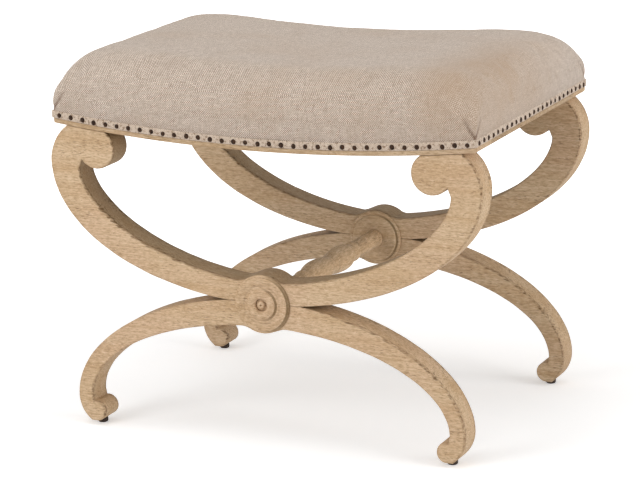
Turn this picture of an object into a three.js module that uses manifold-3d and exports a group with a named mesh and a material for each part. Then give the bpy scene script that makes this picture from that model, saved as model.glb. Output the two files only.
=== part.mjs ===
// Upholstered stool on two X frames. Each frame is a U shaped upper arc on an arch shaped
// lower arc, and a turned stretcher joins the two crossings. Units are millimetres, +Z is up,
// X runs along the long side and Y from front to back. The origin is on the floor, under the
// middle of the stool.

import * as THREE from 'three';
import { mergeVertices } from 'three/addons/utils/BufferGeometryUtils.js';
import Module from 'manifold-3d';

const wasm = await Module();
wasm.setup();

// Seat frame
const seatLength = 635;
const seatDepth = 438;
const seatEndHeight = 440.5;        // underside of the rails at the two ends
const seatSag = 20;                 // how much lower the rails lie in the middle
const railHeight = 32;
const railWidth = 56;
const seatCorner = 5;               // radius of the seat's corners in plan
const curveStep = 27;               // length of one facet along the seat's curve
const halfLength = seatLength / 2;
const halfDepth = seatDepth / 2;
const seatCurveRadius = (halfLength ** 2 + seatSag ** 2) / (2 * seatSag);

// Side frames
const frameInset = 21.8;            // from the seat's front face to the front frame's middle plane
const frameSpacing = seatDepth - 2 * frameInset;
const frameThickness = 40;
const halfThickness = frameThickness / 2;
const seamHeight = 206.8;           // where the two arcs of a frame meet
const hubDrop = 1.3;                // how far the axis of the stretcher and of the discs lies below it
const hubRadius = 41.5;             // swell of both arcs round the crossing
const hubBlend = 9;                 // softness of the swell's ends
const hubHeight = seamHeight - hubDrop;

// Upper arc
const shoulderOverhang = 7;         // how far the arc reaches past the seat's ends
const shoulderLevel = 55.5;         // how far its widest place lies below the seat's ends
const shoulderRadius = 63;
const shoulderWidth = 44.6;
const upperOuterSink = 2.3;         // how far the outer edge's curve would dip below the seam
const upperInnerLevel = 63;         // how far the inner edge's widest place lies below the seat's ends
const upperInnerLift = 28.2;        // height of the inner edge's lowest point over the seam
const upperInnerPower = 1.768;
const scrollRadius = 29;
const scrollInset = 65;             // from the seat's ends to the scroll's centre
const scrollLevel = 33.5;           // from the seat's ends down to the scroll's centre
const scrollNeck = 66;              // half height of the curl between the inner edge and the scroll
const scrollNotch = 11.2;           // rise of the notch between the inner edge and the scroll
const upperHalfWidth = halfLength + shoulderOverhang;
const shoulderHeight = seatEndHeight - shoulderLevel;
const upperOuterDrop = shoulderHeight - seamHeight + upperOuterSink;
const upperInnerHalfWidth = upperHalfWidth - shoulderWidth;
const innerShoulderHeight = seatEndHeight - upperInnerLevel;
const upperInnerDrop = innerShoulderHeight - seamHeight - upperInnerLift;
const scrollReach = halfLength - scrollInset;
const scrollHeight = seatEndHeight - scrollLevel;

// Lower arc
const ankleInset = 20.4;            // from the seat's ends to the arc's widest place
const ankleHeight = 45;             // height of that place
const ankleRadius = 47.8;
const ankleWidth = 23;
const lowerOuterLift = 3.5;         // how far the outer edge's curve would rise over the seam
const lowerOuterPower = 1.924;
const lowerInnerLevel = 34.3;       // depth of the inner edge's highest point below the seam
const lowerInnerPower = 1.96;
const footScrollRadius = 14.5;
const footScrollInset = 26.6;       // from the widest place to the foot scroll's centre
const footScrollHeight = 21;
const lowerHalfWidth = halfLength - ankleInset;
const lowerOuterRise = seamHeight + lowerOuterLift - ankleHeight;
const lowerInnerRise = seamHeight - lowerInnerLevel - ankleHeight;
const footScrollReach = lowerHalfWidth - footScrollInset;

// Glides
const glideRadius = 8.5;
const glideHeight = 7;
const glideReach = footScrollReach;
const glideEdge = 1;
const glidePinRadius = 1.5;
const glidePinLength = 14;

// Crossing: rosette, plug, inner boss and hub screw
const rosetteRadius = 41;
const rosetteRim = 2.6;             // straight part of the rim
const rosetteShoulderRadius = 37.7;
const rosetteShoulderHeight = 5;
const rosetteEasing = 0.65;         // drop of the shoulder halfway to the rim
const rosetteCoveRadius = 29;
const rosetteCoveHeight = 3.8;
const rosetteRingFoot = 22.5;
const rosetteRingRadius = 20.5;
const rosetteRingHeight = 7;
const rosetteLipRadius = 12.5;
const rosetteWellRadius = 8.8;
const plugBaseHeight = 2.5;
const plugRadius = 5;
const plugHeight = 6.2;
const bossRadius = 41;
const bossRim = 3;
const bossFaceRadius = 35;
const bossHeight = 6;
const hubScrewHeadRadius = 8;
const hubScrewHeadHeight = 4;
const hubScrewRadius = 2.5;
const hubScrewLength = 44;
const hubScrewDepth = 7;            // depth of the counterbore for its head

// Stretcher
const stretcherEndRadius = 13.6;
const stretcherEndLength = 5;
const stretcherNeckRadius = 13;
const stretcherRingRadius = 14.6;
const stretcherRingWidth = 6;
const stretcherBulbRadius = 18.8;
const stretcherWaistRadius = 14.6;
const stretcherRingShare = 0.516;   // place of the small ring between the boss and the middle
const stretcherBulbShare = 0.745;   // the fullest place
const stretcherRiseShare = 0.875;   // how much of the bulb is reached at its first shoulder
const stretcherFallShares = [0.25, 0.67];   // how much of it is lost at two places towards the waist
const tenonRadius = 11;
const tenonDepth = 24;              // how far a tenon goes into the frame

// Dowels and screws
const seamDowelRadius = 4;
const seamDowelLength = 32;
const seamDowelReach = 28;
const armDowelRadius = 5;
const armDowelLength = 36;
const armDowelInsets = { inner: 67.5, outer: 29.5 };    // from the seat's ends
const blockLeg = 70;                // side of a corner block along each rail
const blockHeight = 22;
const blockScrewShare = 0.4;        // place of its screw along the leg
const blockScrewHeadRadius = 4.2;
const blockScrewHeadHeight = 3;
const blockScrewRadius = 2.2;
const blockScrewLength = 56;
const blockScrewEngagement = 24;    // how far it goes into the rail

// Upholstery
const webWidth = 50;
const webThickness = 1.5;
const webCount = 6;
const webTackLength = 40;           // how far a strap lies on each long rail
const hessianThickness = 1;
const hessianOverlap = 44;
const dustCoverThickness = 1;
const dustCoverOverlap = 11;        // how far it lies under each rail
const coverThickness = 1.4;
const battingThickness = 6;
const bareStrip = 7;                // wood that shows below the cover and its band
const bandWidth = 10.5;
const bandThickness = 1.2;
const bandEndInset = 2;             // from the seat's corners to the band's ends
const nailRadius = 3.5;
const nailHeight = 2.2;
const nailDomeShare = 0.75;
const nailSink = 0.6;
const nailLift = 4.2;               // from the band's lower edge to the nails' middle
const nailEndInset = 11.5;
const longNailCount = 35;
const shortNailCount = 25;

// Cushion form: how its top rises from the four sides
const cushionHeight = 105.4;        // above the underside of the rails, at the middle of a long edge
const cushionCrown = 1.9;
const cushionEndRise = 9.8;
const sideBulge = 4;
const bulgeHeight = 26;
const sideHeight = 40;              // up to here the sides stand upright
const cornerLift = 3;               // least rise of the top over that height
const cornerLayerShare = 0.25;      // share of a layer's depth that lowers its corners
const endRounding = 290;            // length over which the top falls to each end
const endRoundingPower = 3.85;
const sideRounding = 82.5;
const sideRoundingPower = 2.15;

// Clearance between pieces that touch, and how far a cutting tool runs past a face
const gap = 0.3;
const overrun = 4;

// Facet counts
const roundFacets = 28;
const stretcherFacets = 18;
const smallFacets = 10;
const nailFacets = 6;
const edgeFacets = 18;
const scrollFacets = 10;
const armTopFacets = 3;
const cushionRings = 8;
const cushionRingPower = 2.2;
const cushionFloorRings = 3;
const longFacets = 8;
const shortFacets = 6;
const cornerFacets = 2;

// How far the rails are set in above the bare strip, so that the band lies flush with the strip
const rebate = gap + coverThickness + gap + bandThickness;
const trimFoot = bareStrip + gap;

// Materials
function finish(color, roughness, metalness = 0) {
  return new THREE.MeshStandardMaterial({ color, roughness, metalness });
}

const oak = finish(0xc2a27c, 0.7);
const paleWood = finish(0xd2b98f, 0.8);
const linen = finish(0xb7a68d, 0.95);
const bronze = finish(0x4a3626, 0.4, 0.8);
const steel = finish(0x8d8d8d, 0.4, 0.9);
const webbing = finish(0x9a7b4f, 0.95);
const hessian = finish(0xa98f66, 0.95);
const foam = finish(0xe9e2cf, 0.95);
const wadding = finish(0xf0eee8, 1);
const blackCloth = finish(0x1e1e1e, 1);
const darkFelt = finish(0x2b241f, 0.9);

// Closed meshes, and cuts and joins between them

function closedMesh(geometry) {
  const bare = geometry.clone();
  bare.deleteAttribute('normal');
  bare.deleteAttribute('uv');
  const merged = mergeVertices(bare);
  const place = merged.getAttribute('position');
  const corners = merged.getIndex().array;
  const [a, b, c] = [new THREE.Vector3(), new THREE.Vector3(), new THREE.Vector3()];
  const kept = [];
  let volume = 0;
  for (let i = 0; i < corners.length; i += 3) {
    const [p, q, r] = corners.slice(i, i + 3);
    if (p === q || q === r || r === p) continue;
    kept.push(p, q, r);
    volume += a.fromBufferAttribute(place, p).dot(
      b.fromBufferAttribute(place, q).cross(c.fromBufferAttribute(place, r)),
    );
  }
  merged.setIndex(volume < 0 ? kept.reverse() : kept);
  return merged;
}

function solidOf(geometry) {
  const mesh = closedMesh(geometry);
  return new wasm.Manifold(new wasm.Mesh({
    numProp: 3,
    vertProperties: new Float32Array(mesh.getAttribute('position').array),
    triVerts: new Uint32Array(mesh.getIndex().array),
  }));
}

function geometryOf(solid) {
  const mesh = solid.getMesh();
  const geometry = new THREE.BufferGeometry();
  geometry.setAttribute('position', new THREE.BufferAttribute(mesh.vertProperties, 3));
  geometry.setIndex(new THREE.BufferAttribute(mesh.triVerts, 1));
  geometry.computeVertexNormals();
  return geometry;
}

function cut(geometry, tools) {
  return geometryOf(tools.reduce((left, tool) => left.subtract(solidOf(tool)), solidOf(geometry)));
}

function join(geometry, others) {
  return geometryOf(others.reduce((whole, other) => whole.add(solidOf(other)), solidOf(geometry)));
}

function common(geometry, other) {
  return geometryOf(solidOf(geometry).intersect(solidOf(other)));
}

// Basic forms

// An outline drawn in X and Z, given a thickness from front to back
function plate(outline, front, back) {
  const shape = new THREE.Shape(outline);
  const geometry = new THREE.ExtrudeGeometry(shape, { depth: back - front, bevelEnabled: false });
  return closedMesh(geometry.rotateX(Math.PI / 2).translate(0, back, 0));
}

// An outline drawn in X and Y, given a height
function slab(outline, bottom, top) {
  const shape = new THREE.Shape(outline);
  const geometry = new THREE.ExtrudeGeometry(shape, { depth: top - bottom, bevelEnabled: false });
  return closedMesh(geometry.translate(0, 0, bottom));
}

// A profile of [radius, place] pairs turned round the Y axis
function turned(profile, facets) {
  const points = profile.map(([radius, place]) => new THREE.Vector2(radius, place));
  return closedMesh(new THREE.LatheGeometry(points, facets));
}

function rod(radius, start, end, facets = smallFacets) {
  return turned([[0, start], [radius, start], [radius, end], [0, end]], facets);
}

function upright(geometry) {
  return geometry.rotateX(Math.PI / 2);
}

// A screw along Y, its head at the start
function screw(headRadius, headHeight, radius, length) {
  return turned([
    [0, 0], [headRadius, 0], [headRadius, headHeight / 2], [radius, headHeight],
    [radius, length - 2 * radius], [0, length],
  ], smallFacets);
}

function screwHole(headRadius, headHeight, radius, length) {
  return turned([
    [0, -overrun - headHeight], [headRadius + gap, -overrun - headHeight],
    [headRadius + gap, headHeight + gap], [radius + gap, headHeight + gap],
    [radius + gap, length + gap], [0, length + gap],
  ], smallFacets);
}

// A closed skin through a row of loops; the first and the last loop are single points. Each
// four sided facet is split along its higher diagonal, so that layers over each other match.
function loft(loops) {
  const points = loops.flat();
  const index = [];
  let start = 0;
  for (let row = 0; row + 1 < loops.length; row += 1) {
    const [lower, upper] = [loops[row].length, loops[row + 1].length];
    const count = Math.max(lower, upper);
    for (let i = 0; i < count; i += 1) {
      const a = start + (i % lower);
      const b = start + ((i + 1) % lower);
      const c = start + lower + ((i + 1) % upper);
      const d = start + lower + (i % upper);
      if (points[a].z + points[c].z > points[b].z + points[d].z) index.push(a, b, c, a, c, d);
      else index.push(a, b, d, b, c, d);
    }
    start += lower;
  }
  const geometry = new THREE.BufferGeometry();
  geometry.setAttribute(
    'position', new THREE.Float32BufferAttribute(points.flatMap(({ x, y, z }) => [x, y, z]), 3),
  );
  geometry.setIndex(index);
  return closedMesh(geometry);
}

// Curves

function mirrored(half) {
  const left = half.slice().reverse().map((point) => new THREE.Vector2(-point.x, point.y));
  return half.concat(left).filter((point, i, all) => point.distanceTo(all.at(i - 1)) > gap / 2);
}

// Points of a circle from one angle to another, in radians
function arcPoints(x, z, radius, from, to, facets) {
  return Array.from({ length: facets + 1 }, (_, i) => {
    const angle = from + ((to - from) * i) / facets;
    return new THREE.Vector2(x + radius * Math.cos(angle), z + radius * Math.sin(angle));
  });
}

// Height of a superellipse's rim over its own middle line
function rimHeight(x, halfWidth, rise, power) {
  const share = Math.min(Math.abs(x) / halfWidth, 1);
  return rise * (1 - share ** power) ** (1 / power);
}

// Places along a rim, closer together towards its steep end
function rimPlaces(halfWidth, from, facets) {
  const start = Math.asin(from / halfWidth);
  return Array.from({ length: facets + 1 }, (_, i) =>
    halfWidth * Math.sin(start + ((Math.PI / 2 - start) * i) / facets));
}

// The larger of two heights, with a soft change from one to the other
function softMax(a, b, softness) {
  const overlap = Math.max(softness - Math.abs(a - b), 0) / softness;
  return Math.max(a, b) + (overlap ** 2 * softness) / 4;
}

function hubRise(x) {
  return Math.abs(x) < hubRadius ? Math.sqrt(hubRadius ** 2 - x ** 2) : 0;
}

// Underside of the seat frame at a place along its length
function seatUnderside(x) {
  const bottom = seatEndHeight - seatSag;
  return bottom + seatCurveRadius - Math.sqrt(seatCurveRadius ** 2 - x ** 2);
}

// Side frames

function upperArcOutline() {
  const seamReach = upperHalfWidth
    * Math.sqrt(1 - ((shoulderHeight - seamHeight - gap / 2) / upperOuterDrop) ** 2);
  const outer = rimPlaces(upperHalfWidth, seamReach, edgeFacets).map((x) =>
    new THREE.Vector2(x, shoulderHeight - rimHeight(x, upperHalfWidth, upperOuterDrop, 2)));
  const shoulderReach = upperHalfWidth - shoulderRadius;
  const seatTouch = seatUnderside(shoulderReach + shoulderRadius / 2) - gap;
  const shoulderTurn = Math.asin((seatTouch - shoulderHeight) / shoulderRadius);
  const shoulder = arcPoints(
    shoulderReach, shoulderHeight, shoulderRadius, 0, shoulderTurn, scrollFacets / 2,
  ).slice(1, -1);
  const shoulderEnd = shoulderReach + shoulderRadius * Math.cos(shoulderTurn);
  const scrollTurn = Math.asin((seatUnderside(scrollReach - scrollRadius / 2) - gap - scrollHeight)
    / scrollRadius);
  const scrollEnd = scrollReach - scrollRadius * Math.cos(scrollTurn);
  const top = Array.from({ length: armTopFacets + 1 }, (_, i) => {
    const x = shoulderEnd + ((scrollEnd - shoulderEnd) * i) / armTopFacets;
    return new THREE.Vector2(x, seatUnderside(x) - gap);
  });
  const notchX = upperInnerHalfWidth * Math.sqrt(1 - (scrollNotch / scrollNeck) ** 2);
  const notchTurn = Math.atan2(
    innerShoulderHeight + scrollNotch - scrollHeight, notchX - scrollReach,
  );
  const scroll = arcPoints(
    scrollReach, scrollHeight, scrollRadius,
    Math.PI - scrollTurn, 2 * Math.PI + notchTurn, scrollFacets,
  ).slice(1);
  const inner = rimPlaces(upperInnerHalfWidth, 0, edgeFacets).reverse().map((x) => {
    const edge = innerShoulderHeight
      - rimHeight(x, upperInnerHalfWidth, upperInnerDrop, upperInnerPower);
    return new THREE.Vector2(x, softMax(edge, hubHeight + hubRise(x), hubBlend));
  });
  return mirrored([new THREE.Vector2(0, seamHeight + gap / 2), ...outer, ...shoulder, ...top,
    ...scroll, ...inner]);
}

function lowerArcOutline() {
  const top = seamHeight - gap / 2 - ankleHeight;
  const seamReach = lowerHalfWidth
    * (1 - (top / lowerOuterRise) ** lowerOuterPower) ** (1 / lowerOuterPower);
  const outer = rimPlaces(lowerHalfWidth, seamReach, edgeFacets).map((x) => {
    const rise = rimHeight(x, lowerHalfWidth, lowerOuterRise, lowerOuterPower);
    return new THREE.Vector2(x, ankleHeight + rise);
  });
  const ankleReach = lowerHalfWidth - ankleRadius;
  const ankleTurn = -Math.asin((ankleHeight - glideHeight) / ankleRadius);
  const ankle = arcPoints(
    ankleReach, ankleHeight, ankleRadius, 0, ankleTurn, scrollFacets / 2,
  ).slice(1);
  const soleTurn = Math.PI + Math.asin((footScrollHeight - glideHeight) / footScrollRadius);
  const innerRadius = ankleRadius - ankleWidth;
  const notch = circleMeeting(
    ankleReach, ankleHeight, innerRadius, footScrollReach, footScrollHeight, footScrollRadius,
  );
  const notchTurn = Math.atan2(notch.y - footScrollHeight, notch.x - footScrollReach);
  const scroll = arcPoints(
    footScrollReach, footScrollHeight, footScrollRadius, soleTurn, notchTurn, scrollFacets,
  );
  const innerHalfWidth = lowerHalfWidth - ankleWidth;
  const inner = rimPlaces(innerHalfWidth, 0, edgeFacets).reverse().map((x) => {
    const edge = ankleHeight + rimHeight(x, innerHalfWidth, lowerInnerRise, lowerInnerPower);
    return new THREE.Vector2(x, -softMax(-edge, hubRise(x) - hubHeight, hubBlend));
  });
  return mirrored([new THREE.Vector2(0, seamHeight - gap / 2), ...outer, ...ankle, ...scroll,
    ...inner]);
}

// Where two circles meet, on the side that faces the middle of the frame's leg
function circleMeeting(x1, z1, r1, x2, z2, r2) {
  const span = Math.hypot(x2 - x1, z2 - z1);
  const along = (r1 ** 2 - r2 ** 2 + span ** 2) / (2 * span);
  const across = Math.sqrt(r1 ** 2 - along ** 2);
  const [ux, uz] = [(x2 - x1) / span, (z2 - z1) / span];
  return new THREE.Vector2(x1 + along * ux - across * uz, z1 + along * uz + across * ux);
}

function hubHoles() {
  const tenonHole = rod(
    tenonRadius + gap, halfThickness - tenonDepth - gap, halfThickness + overrun, roundFacets,
  ).translate(0, 0, hubHeight);
  const hole = screwHole(hubScrewHeadRadius, hubScrewHeadHeight, hubScrewRadius, hubScrewLength)
    .translate(0, hubScrewDepth - hubScrewHeadHeight - halfThickness, hubHeight);
  const dowelHoles = [-seamDowelReach, seamDowelReach].map((x) =>
    upright(rod(
      seamDowelRadius + gap, -seamDowelLength / 2 - gap, seamDowelLength / 2 + gap,
    )).translate(x, 0, seamHeight));
  return [tenonHole, hole, ...dowelHoles];
}

function armDowelPlaces() {
  return [-1, 1].flatMap((side) => Object.entries(armDowelInsets).map(([place, inset]) =>
    ({ side, place, x: side * (halfLength - inset), z: seatUnderside(halfLength - inset) })));
}

function armDowelHole(x, z) {
  return upright(rod(
    armDowelRadius + gap, -armDowelLength / 2 - gap, armDowelLength / 2 + gap,
  )).translate(x, 0, z);
}

function upperArc() {
  const body = plate(upperArcOutline(), -halfThickness, halfThickness);
  const dowelHoles = armDowelPlaces().map(({ x, z }) => armDowelHole(x, z));
  return cut(body, [...hubHoles(), ...dowelHoles]);
}

function lowerArc() {
  const body = plate(lowerArcOutline(), -halfThickness, halfThickness);
  const pinHoles = [-glideReach, glideReach].map((x) =>
    upright(rod(glidePinRadius + gap, -overrun, glidePinLength + gap))
      .translate(x, 0, glideHeight));
  return cut(body, [...hubHoles(), ...pinHoles]);
}

// The discs are turned with their back at zero and their face towards +Y
function rosette() {
  return turned([
    [rosetteWellRadius, 0], [rosetteRadius, 0], [rosetteRadius, rosetteRim],
    [(rosetteRadius + rosetteShoulderRadius) / 2, rosetteShoulderHeight - rosetteEasing],
    [rosetteShoulderRadius, rosetteShoulderHeight],
    [rosetteCoveRadius, rosetteCoveHeight], [rosetteRingFoot, rosetteShoulderHeight],
    [rosetteRingRadius, rosetteRingHeight], [rosetteLipRadius, rosetteRingHeight],
    [rosetteWellRadius, rosetteShoulderHeight], [rosetteWellRadius, 0],
  ], roundFacets);
}

function rosettePlug() {
  return turned([
    [0, 0], [rosetteWellRadius - gap, 0], [rosetteWellRadius - gap, plugBaseHeight],
    [plugRadius, plugBaseHeight], [plugRadius, (plugBaseHeight + plugHeight) / 2],
    [plugRadius / 2, plugHeight], [0, plugHeight],
  ], smallFacets);
}

function innerBoss() {
  return turned([
    [tenonRadius + gap, 0], [bossRadius, 0], [bossRadius, bossRim],
    [bossFaceRadius, bossRim], [bossFaceRadius, bossHeight],
    [tenonRadius + gap, bossHeight], [tenonRadius + gap, 0],
  ], roundFacets);
}

function glide() {
  return upright(turned([
    [0, 0], [glideRadius - glideEdge, 0], [glideRadius, glideEdge],
    [glideRadius, glideHeight - gap], [glidePinRadius, glideHeight - gap],
    [glidePinRadius, glideHeight + glidePinLength - glidePinRadius],
    [0, glideHeight + glidePinLength],
  ], roundFacets / 2));
}

function named(name, geometry, material, x = 0, y = 0, z = 0) {
  const mesh = new THREE.Mesh(geometry, material);
  mesh.name = name;
  mesh.position.set(x, y, z);
  return mesh;
}

// One X frame about its own middle plane, its rosette towards -Y. The back frame is the same
// one turned half round, so its left and right pieces change names.
function sideFrame(name, turn) {
  const frame = new THREE.Group();
  const sideName = (x) => (x * Math.cos(turn) < 0 ? 'left' : 'right');
  frame.add(named(`${name}_upper_arc`, upperArc(), oak));
  frame.add(named(`${name}_lower_arc`, lowerArc(), oak));

  const disc = named(`${name}_rosette`, rosette(), oak, 0, -halfThickness - gap, hubHeight);
  disc.rotation.z = Math.PI;
  const plug = named(
    `${name}_rosette_plug`, rosettePlug(), oak, 0, -halfThickness - gap, hubHeight,
  );
  plug.rotation.z = Math.PI;
  frame.add(disc, plug);
  frame.add(named(`${name}_inner_boss`, innerBoss(), oak, 0, halfThickness + gap, hubHeight));
  frame.add(named(
    `${name}_hub_screw`,
    screw(hubScrewHeadRadius, hubScrewHeadHeight, hubScrewRadius, hubScrewLength),
    steel, 0, hubScrewDepth - hubScrewHeadHeight - halfThickness, hubHeight,
  ));

  for (const x of [-seamDowelReach, seamDowelReach]) {
    const dowel = upright(rod(seamDowelRadius, -seamDowelLength / 2, seamDowelLength / 2));
    frame.add(named(`${name}_${sideName(x)}_seam_dowel`, dowel, paleWood, x, 0, seamHeight));
  }
  for (const { side, place, x, z } of armDowelPlaces()) {
    const dowel = upright(rod(armDowelRadius, -armDowelLength / 2, armDowelLength / 2));
    frame.add(named(`${name}_${sideName(side)}_${place}_arm_dowel`, dowel, paleWood, x, 0, z));
  }
  for (const x of [-glideReach, glideReach]) {
    frame.add(named(`${name}_${sideName(x)}_glide`, glide(), darkFelt, x, 0, 0));
  }
  frame.position.y = (-Math.cos(turn) * frameSpacing) / 2;
  frame.rotation.z = turn;
  return frame;
}

// Stretcher, turned as two vases foot to foot, with a tenon at each end
function stretcher() {
  const halfSpan = frameSpacing / 2 - halfThickness - bossHeight - 2 * gap;
  const ring = halfSpan * stretcherRingShare;
  const ringEnd = ring + stretcherRingWidth;
  const bulb = halfSpan * stretcherBulbShare;
  const bulbStart = (ringEnd + bulb) / 2;
  const bulbEnd = (bulb + halfSpan) / 2;
  const shoulder = stretcherNeckRadius + (stretcherBulbRadius - stretcherNeckRadius)
    * stretcherRiseShare;
  const fall = stretcherBulbRadius - stretcherWaistRadius;
  const half = [
    [0, -bossHeight - gap - tenonDepth],
    [tenonRadius, -bossHeight - gap - tenonDepth],
    [tenonRadius, 0],
    [stretcherEndRadius, 0],
    [stretcherEndRadius, stretcherEndLength],
    [stretcherNeckRadius, stretcherEndLength + gap],
    [stretcherNeckRadius, ring - stretcherRingWidth],
    [stretcherRingRadius, ring - stretcherRingWidth / 2],
    [stretcherRingRadius, ring],
    [stretcherNeckRadius, ringEnd - stretcherRingWidth / 2],
    [(stretcherNeckRadius + stretcherBulbRadius) / 2, bulbStart - stretcherRingWidth / 2],
    [shoulder, bulbStart + stretcherRingWidth],
    [stretcherBulbRadius, bulb],
    [stretcherBulbRadius - fall * stretcherFallShares[0], bulbEnd],
    [stretcherBulbRadius - fall * stretcherFallShares[1], halfSpan - stretcherRingWidth],
    [stretcherWaistRadius, halfSpan - stretcherRingWidth / 2],
  ].map(([radius, place]) => [radius, place - halfSpan]);
  const profile = half.concat(half.slice().reverse().map(([radius, place]) => [radius, -place]));
  const bar = turned(profile, stretcherFacets);
  const holeStart = -frameSpacing / 2 + hubScrewDepth - hubScrewHeadHeight - halfThickness;
  const holes = [0, Math.PI].map((turn) =>
    screwHole(hubScrewRadius, hubScrewHeadHeight, hubScrewRadius, hubScrewLength)
      .translate(0, holeStart, 0).rotateZ(turn));
  return cut(bar, holes);
}

// Seat frame

// A bar that follows the seat's curve along X, from one height over its underside to another
function curvedBar(left, right, front, back, bottom, top) {
  const steps = Math.max(2, Math.round((right - left) / curveStep));
  const places = Array.from({ length: steps + 1 }, (_, i) => left + ((right - left) * i) / steps);
  const edge = (height) => places.map((x) => new THREE.Vector2(x, seatUnderside(x) + height));
  return plate(edge(bottom).concat(edge(top).reverse()), front, back);
}

// Outline of a rectangle with round corners, as loops of the same length for any size
function roundedOutline(halfX, halfY, radius) {
  const corners = [[1, -1], [1, 1], [-1, 1], [-1, -1]];
  const points = [];
  corners.forEach(([sx, sy], i) => {
    const from = -Math.PI / 2 + (i * Math.PI) / 2;
    const turn = arcPoints(
      sx * (halfX - radius), sy * (halfY - radius), radius, from, from + Math.PI / 2, cornerFacets,
    );
    const [nextX, nextY] = corners[(i + 1) % corners.length];
    const end = turn.at(-1);
    const side = new THREE.Vector2(
      nextX * (halfX - (nextX === sx ? 0 : radius)), nextY * (halfY - (nextY === sy ? 0 : radius)),
    );
    const facets = nextX === sx ? shortFacets : longFacets;
    points.push(...turn);
    for (let step = 1; step < facets; step += 1) {
      points.push(end.clone().lerp(side, step / facets));
    }
  });
  return points;
}

function railHoles() {
  const lines = [-1, 1].flatMap((row) => armDowelPlaces().map(({ x, z }) =>
    armDowelHole(x, z).translate(0, (row * frameSpacing) / 2, 0)));
  return lines.concat(blockScrewPlaces().map(({ sideX, sideY }) => blockScrewHole(sideX, sideY)));
}

// The seat's outline in plan as a tall block, drawn in by a width
function seatPlan(inset) {
  const outline = roundedOutline(halfLength - inset, halfDepth - inset, seatCorner - inset);
  return slab(outline, 0, seatEndHeight + railHeight * 2);
}

// A rail with its bare strip below and the part that the cover is pulled over above it
function rail(left, right, front, back) {
  const strip = common(curvedBar(left, right, front, back, 0, bareStrip), seatPlan(0));
  const covered = common(
    curvedBar(left, right, front, back, bareStrip - gap, railHeight), seatPlan(rebate),
  );
  return join(strip, [covered]);
}

function longRail(side) {
  const [near, far] = [halfDepth - railWidth, halfDepth];
  const [front, back] = side < 0 ? [-far, -near] : [near, far];
  return cut(rail(-halfLength, halfLength, front, back), railHoles());
}

function shortRail(side) {
  const [near, far] = [halfLength - railWidth, halfLength];
  const [left, right] = side < 0 ? [-far, -near] : [near, far];
  const reach = halfDepth - railWidth - gap;
  return rail(left, right, -reach, reach);
}

const blockCornerX = halfLength - railWidth - gap;
const blockCornerY = halfDepth - railWidth - gap;
const blockBottom = (seatUnderside(blockCornerX) + seatUnderside(blockCornerX - blockLeg)
  + railHeight - blockHeight) / 2;
const blockScrewReach = blockCornerX - blockLeg * blockScrewShare;
const blockScrewStart = blockCornerY + blockScrewEngagement - blockScrewLength;

function blockScrewPlaces() {
  return [-1, 1].flatMap((sideX) => [-1, 1].map((sideY) => ({ sideX, sideY })));
}

function blockScrewHole(sideX, sideY) {
  const hole = screwHole(
    blockScrewHeadRadius, blockScrewHeadHeight, blockScrewRadius, blockScrewLength,
  ).translate(0, blockScrewStart, 0);
  if (sideY < 0) hole.rotateZ(Math.PI);
  return hole.translate(sideX * blockScrewReach, 0, blockBottom + blockHeight / 2);
}

function cornerBlock(sideX, sideY) {
  const outline = [[0, 0], [-blockLeg, 0], [0, -blockLeg]].map(([x, y]) =>
    new THREE.Vector2(sideX * (blockCornerX + x), sideY * (blockCornerY + y)));
  const block = slab(outline, blockBottom, blockBottom + blockHeight);
  return cut(block, [blockScrewHole(sideX, sideY)]);
}

function seatFrame() {
  const frame = new THREE.Group();
  frame.add(named('front_rail', longRail(-1), oak), named('back_rail', longRail(1), oak));
  frame.add(named('left_rail', shortRail(-1), oak), named('right_rail', shortRail(1), oak));
  for (const { sideX, sideY } of blockScrewPlaces()) {
    const corner = `${sideY < 0 ? 'front' : 'back'}_${sideX < 0 ? 'left' : 'right'}`;
    frame.add(named(`${corner}_corner_block`, cornerBlock(sideX, sideY), paleWood));
    const fixing = screw(
      blockScrewHeadRadius, blockScrewHeadHeight, blockScrewRadius, blockScrewLength,
    ).translate(0, blockScrewStart, 0);
    const mesh = named(
      `${corner}_block_screw`, fixing, steel,
      sideX * blockScrewReach, 0, blockBottom + blockHeight / 2,
    );
    mesh.rotation.z = sideY < 0 ? Math.PI : 0;
    frame.add(mesh);
  }
  return frame;
}

// Upholstery

function webStraps() {
  const reach = halfDepth - railWidth + webTackLength;
  const span = seatLength - 2 * railWidth;
  const pitch = span / webCount;
  return Array.from({ length: webCount }, (_, i) => {
    const middle = -span / 2 + pitch * (i + 1 / 2);
    const strap = curvedBar(
      middle - webWidth / 2, middle + webWidth / 2, -reach, reach,
      railHeight + gap, railHeight + gap + webThickness,
    );
    return named(`web_strap_${i + 1}`, strap, webbing);
  });
}

function hessianSheet() {
  const bottom = railHeight + 2 * gap + webThickness;
  const reachX = halfLength - railWidth + hessianOverlap;
  const reachY = halfDepth - railWidth + hessianOverlap;
  return curvedBar(-reachX, reachX, -reachY, reachY, bottom, bottom + hessianThickness);
}

function dustCover() {
  const reachX = halfLength - railWidth + dustCoverOverlap;
  const reachY = halfDepth - railWidth + dustCoverOverlap;
  return curvedBar(-reachX, reachX, -reachY, reachY, -gap - dustCoverThickness, -gap);
}

// How far the top has risen at a distance from an edge: 0 at the edge, 1 past the rounding
function rounded(distance, reach, power) {
  const share = 1 - Math.min(Math.max(distance / reach, 0), 1);
  return (1 - share ** power) ** (1 / power);
}

// The seat's outline in plan, grown by a swell, with corners that stay round in every layer
function cushionOutline(swell) {
  return roundedOutline(halfLength + swell, halfDepth + swell, Math.max(seatCorner + swell, gap));
}

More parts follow.
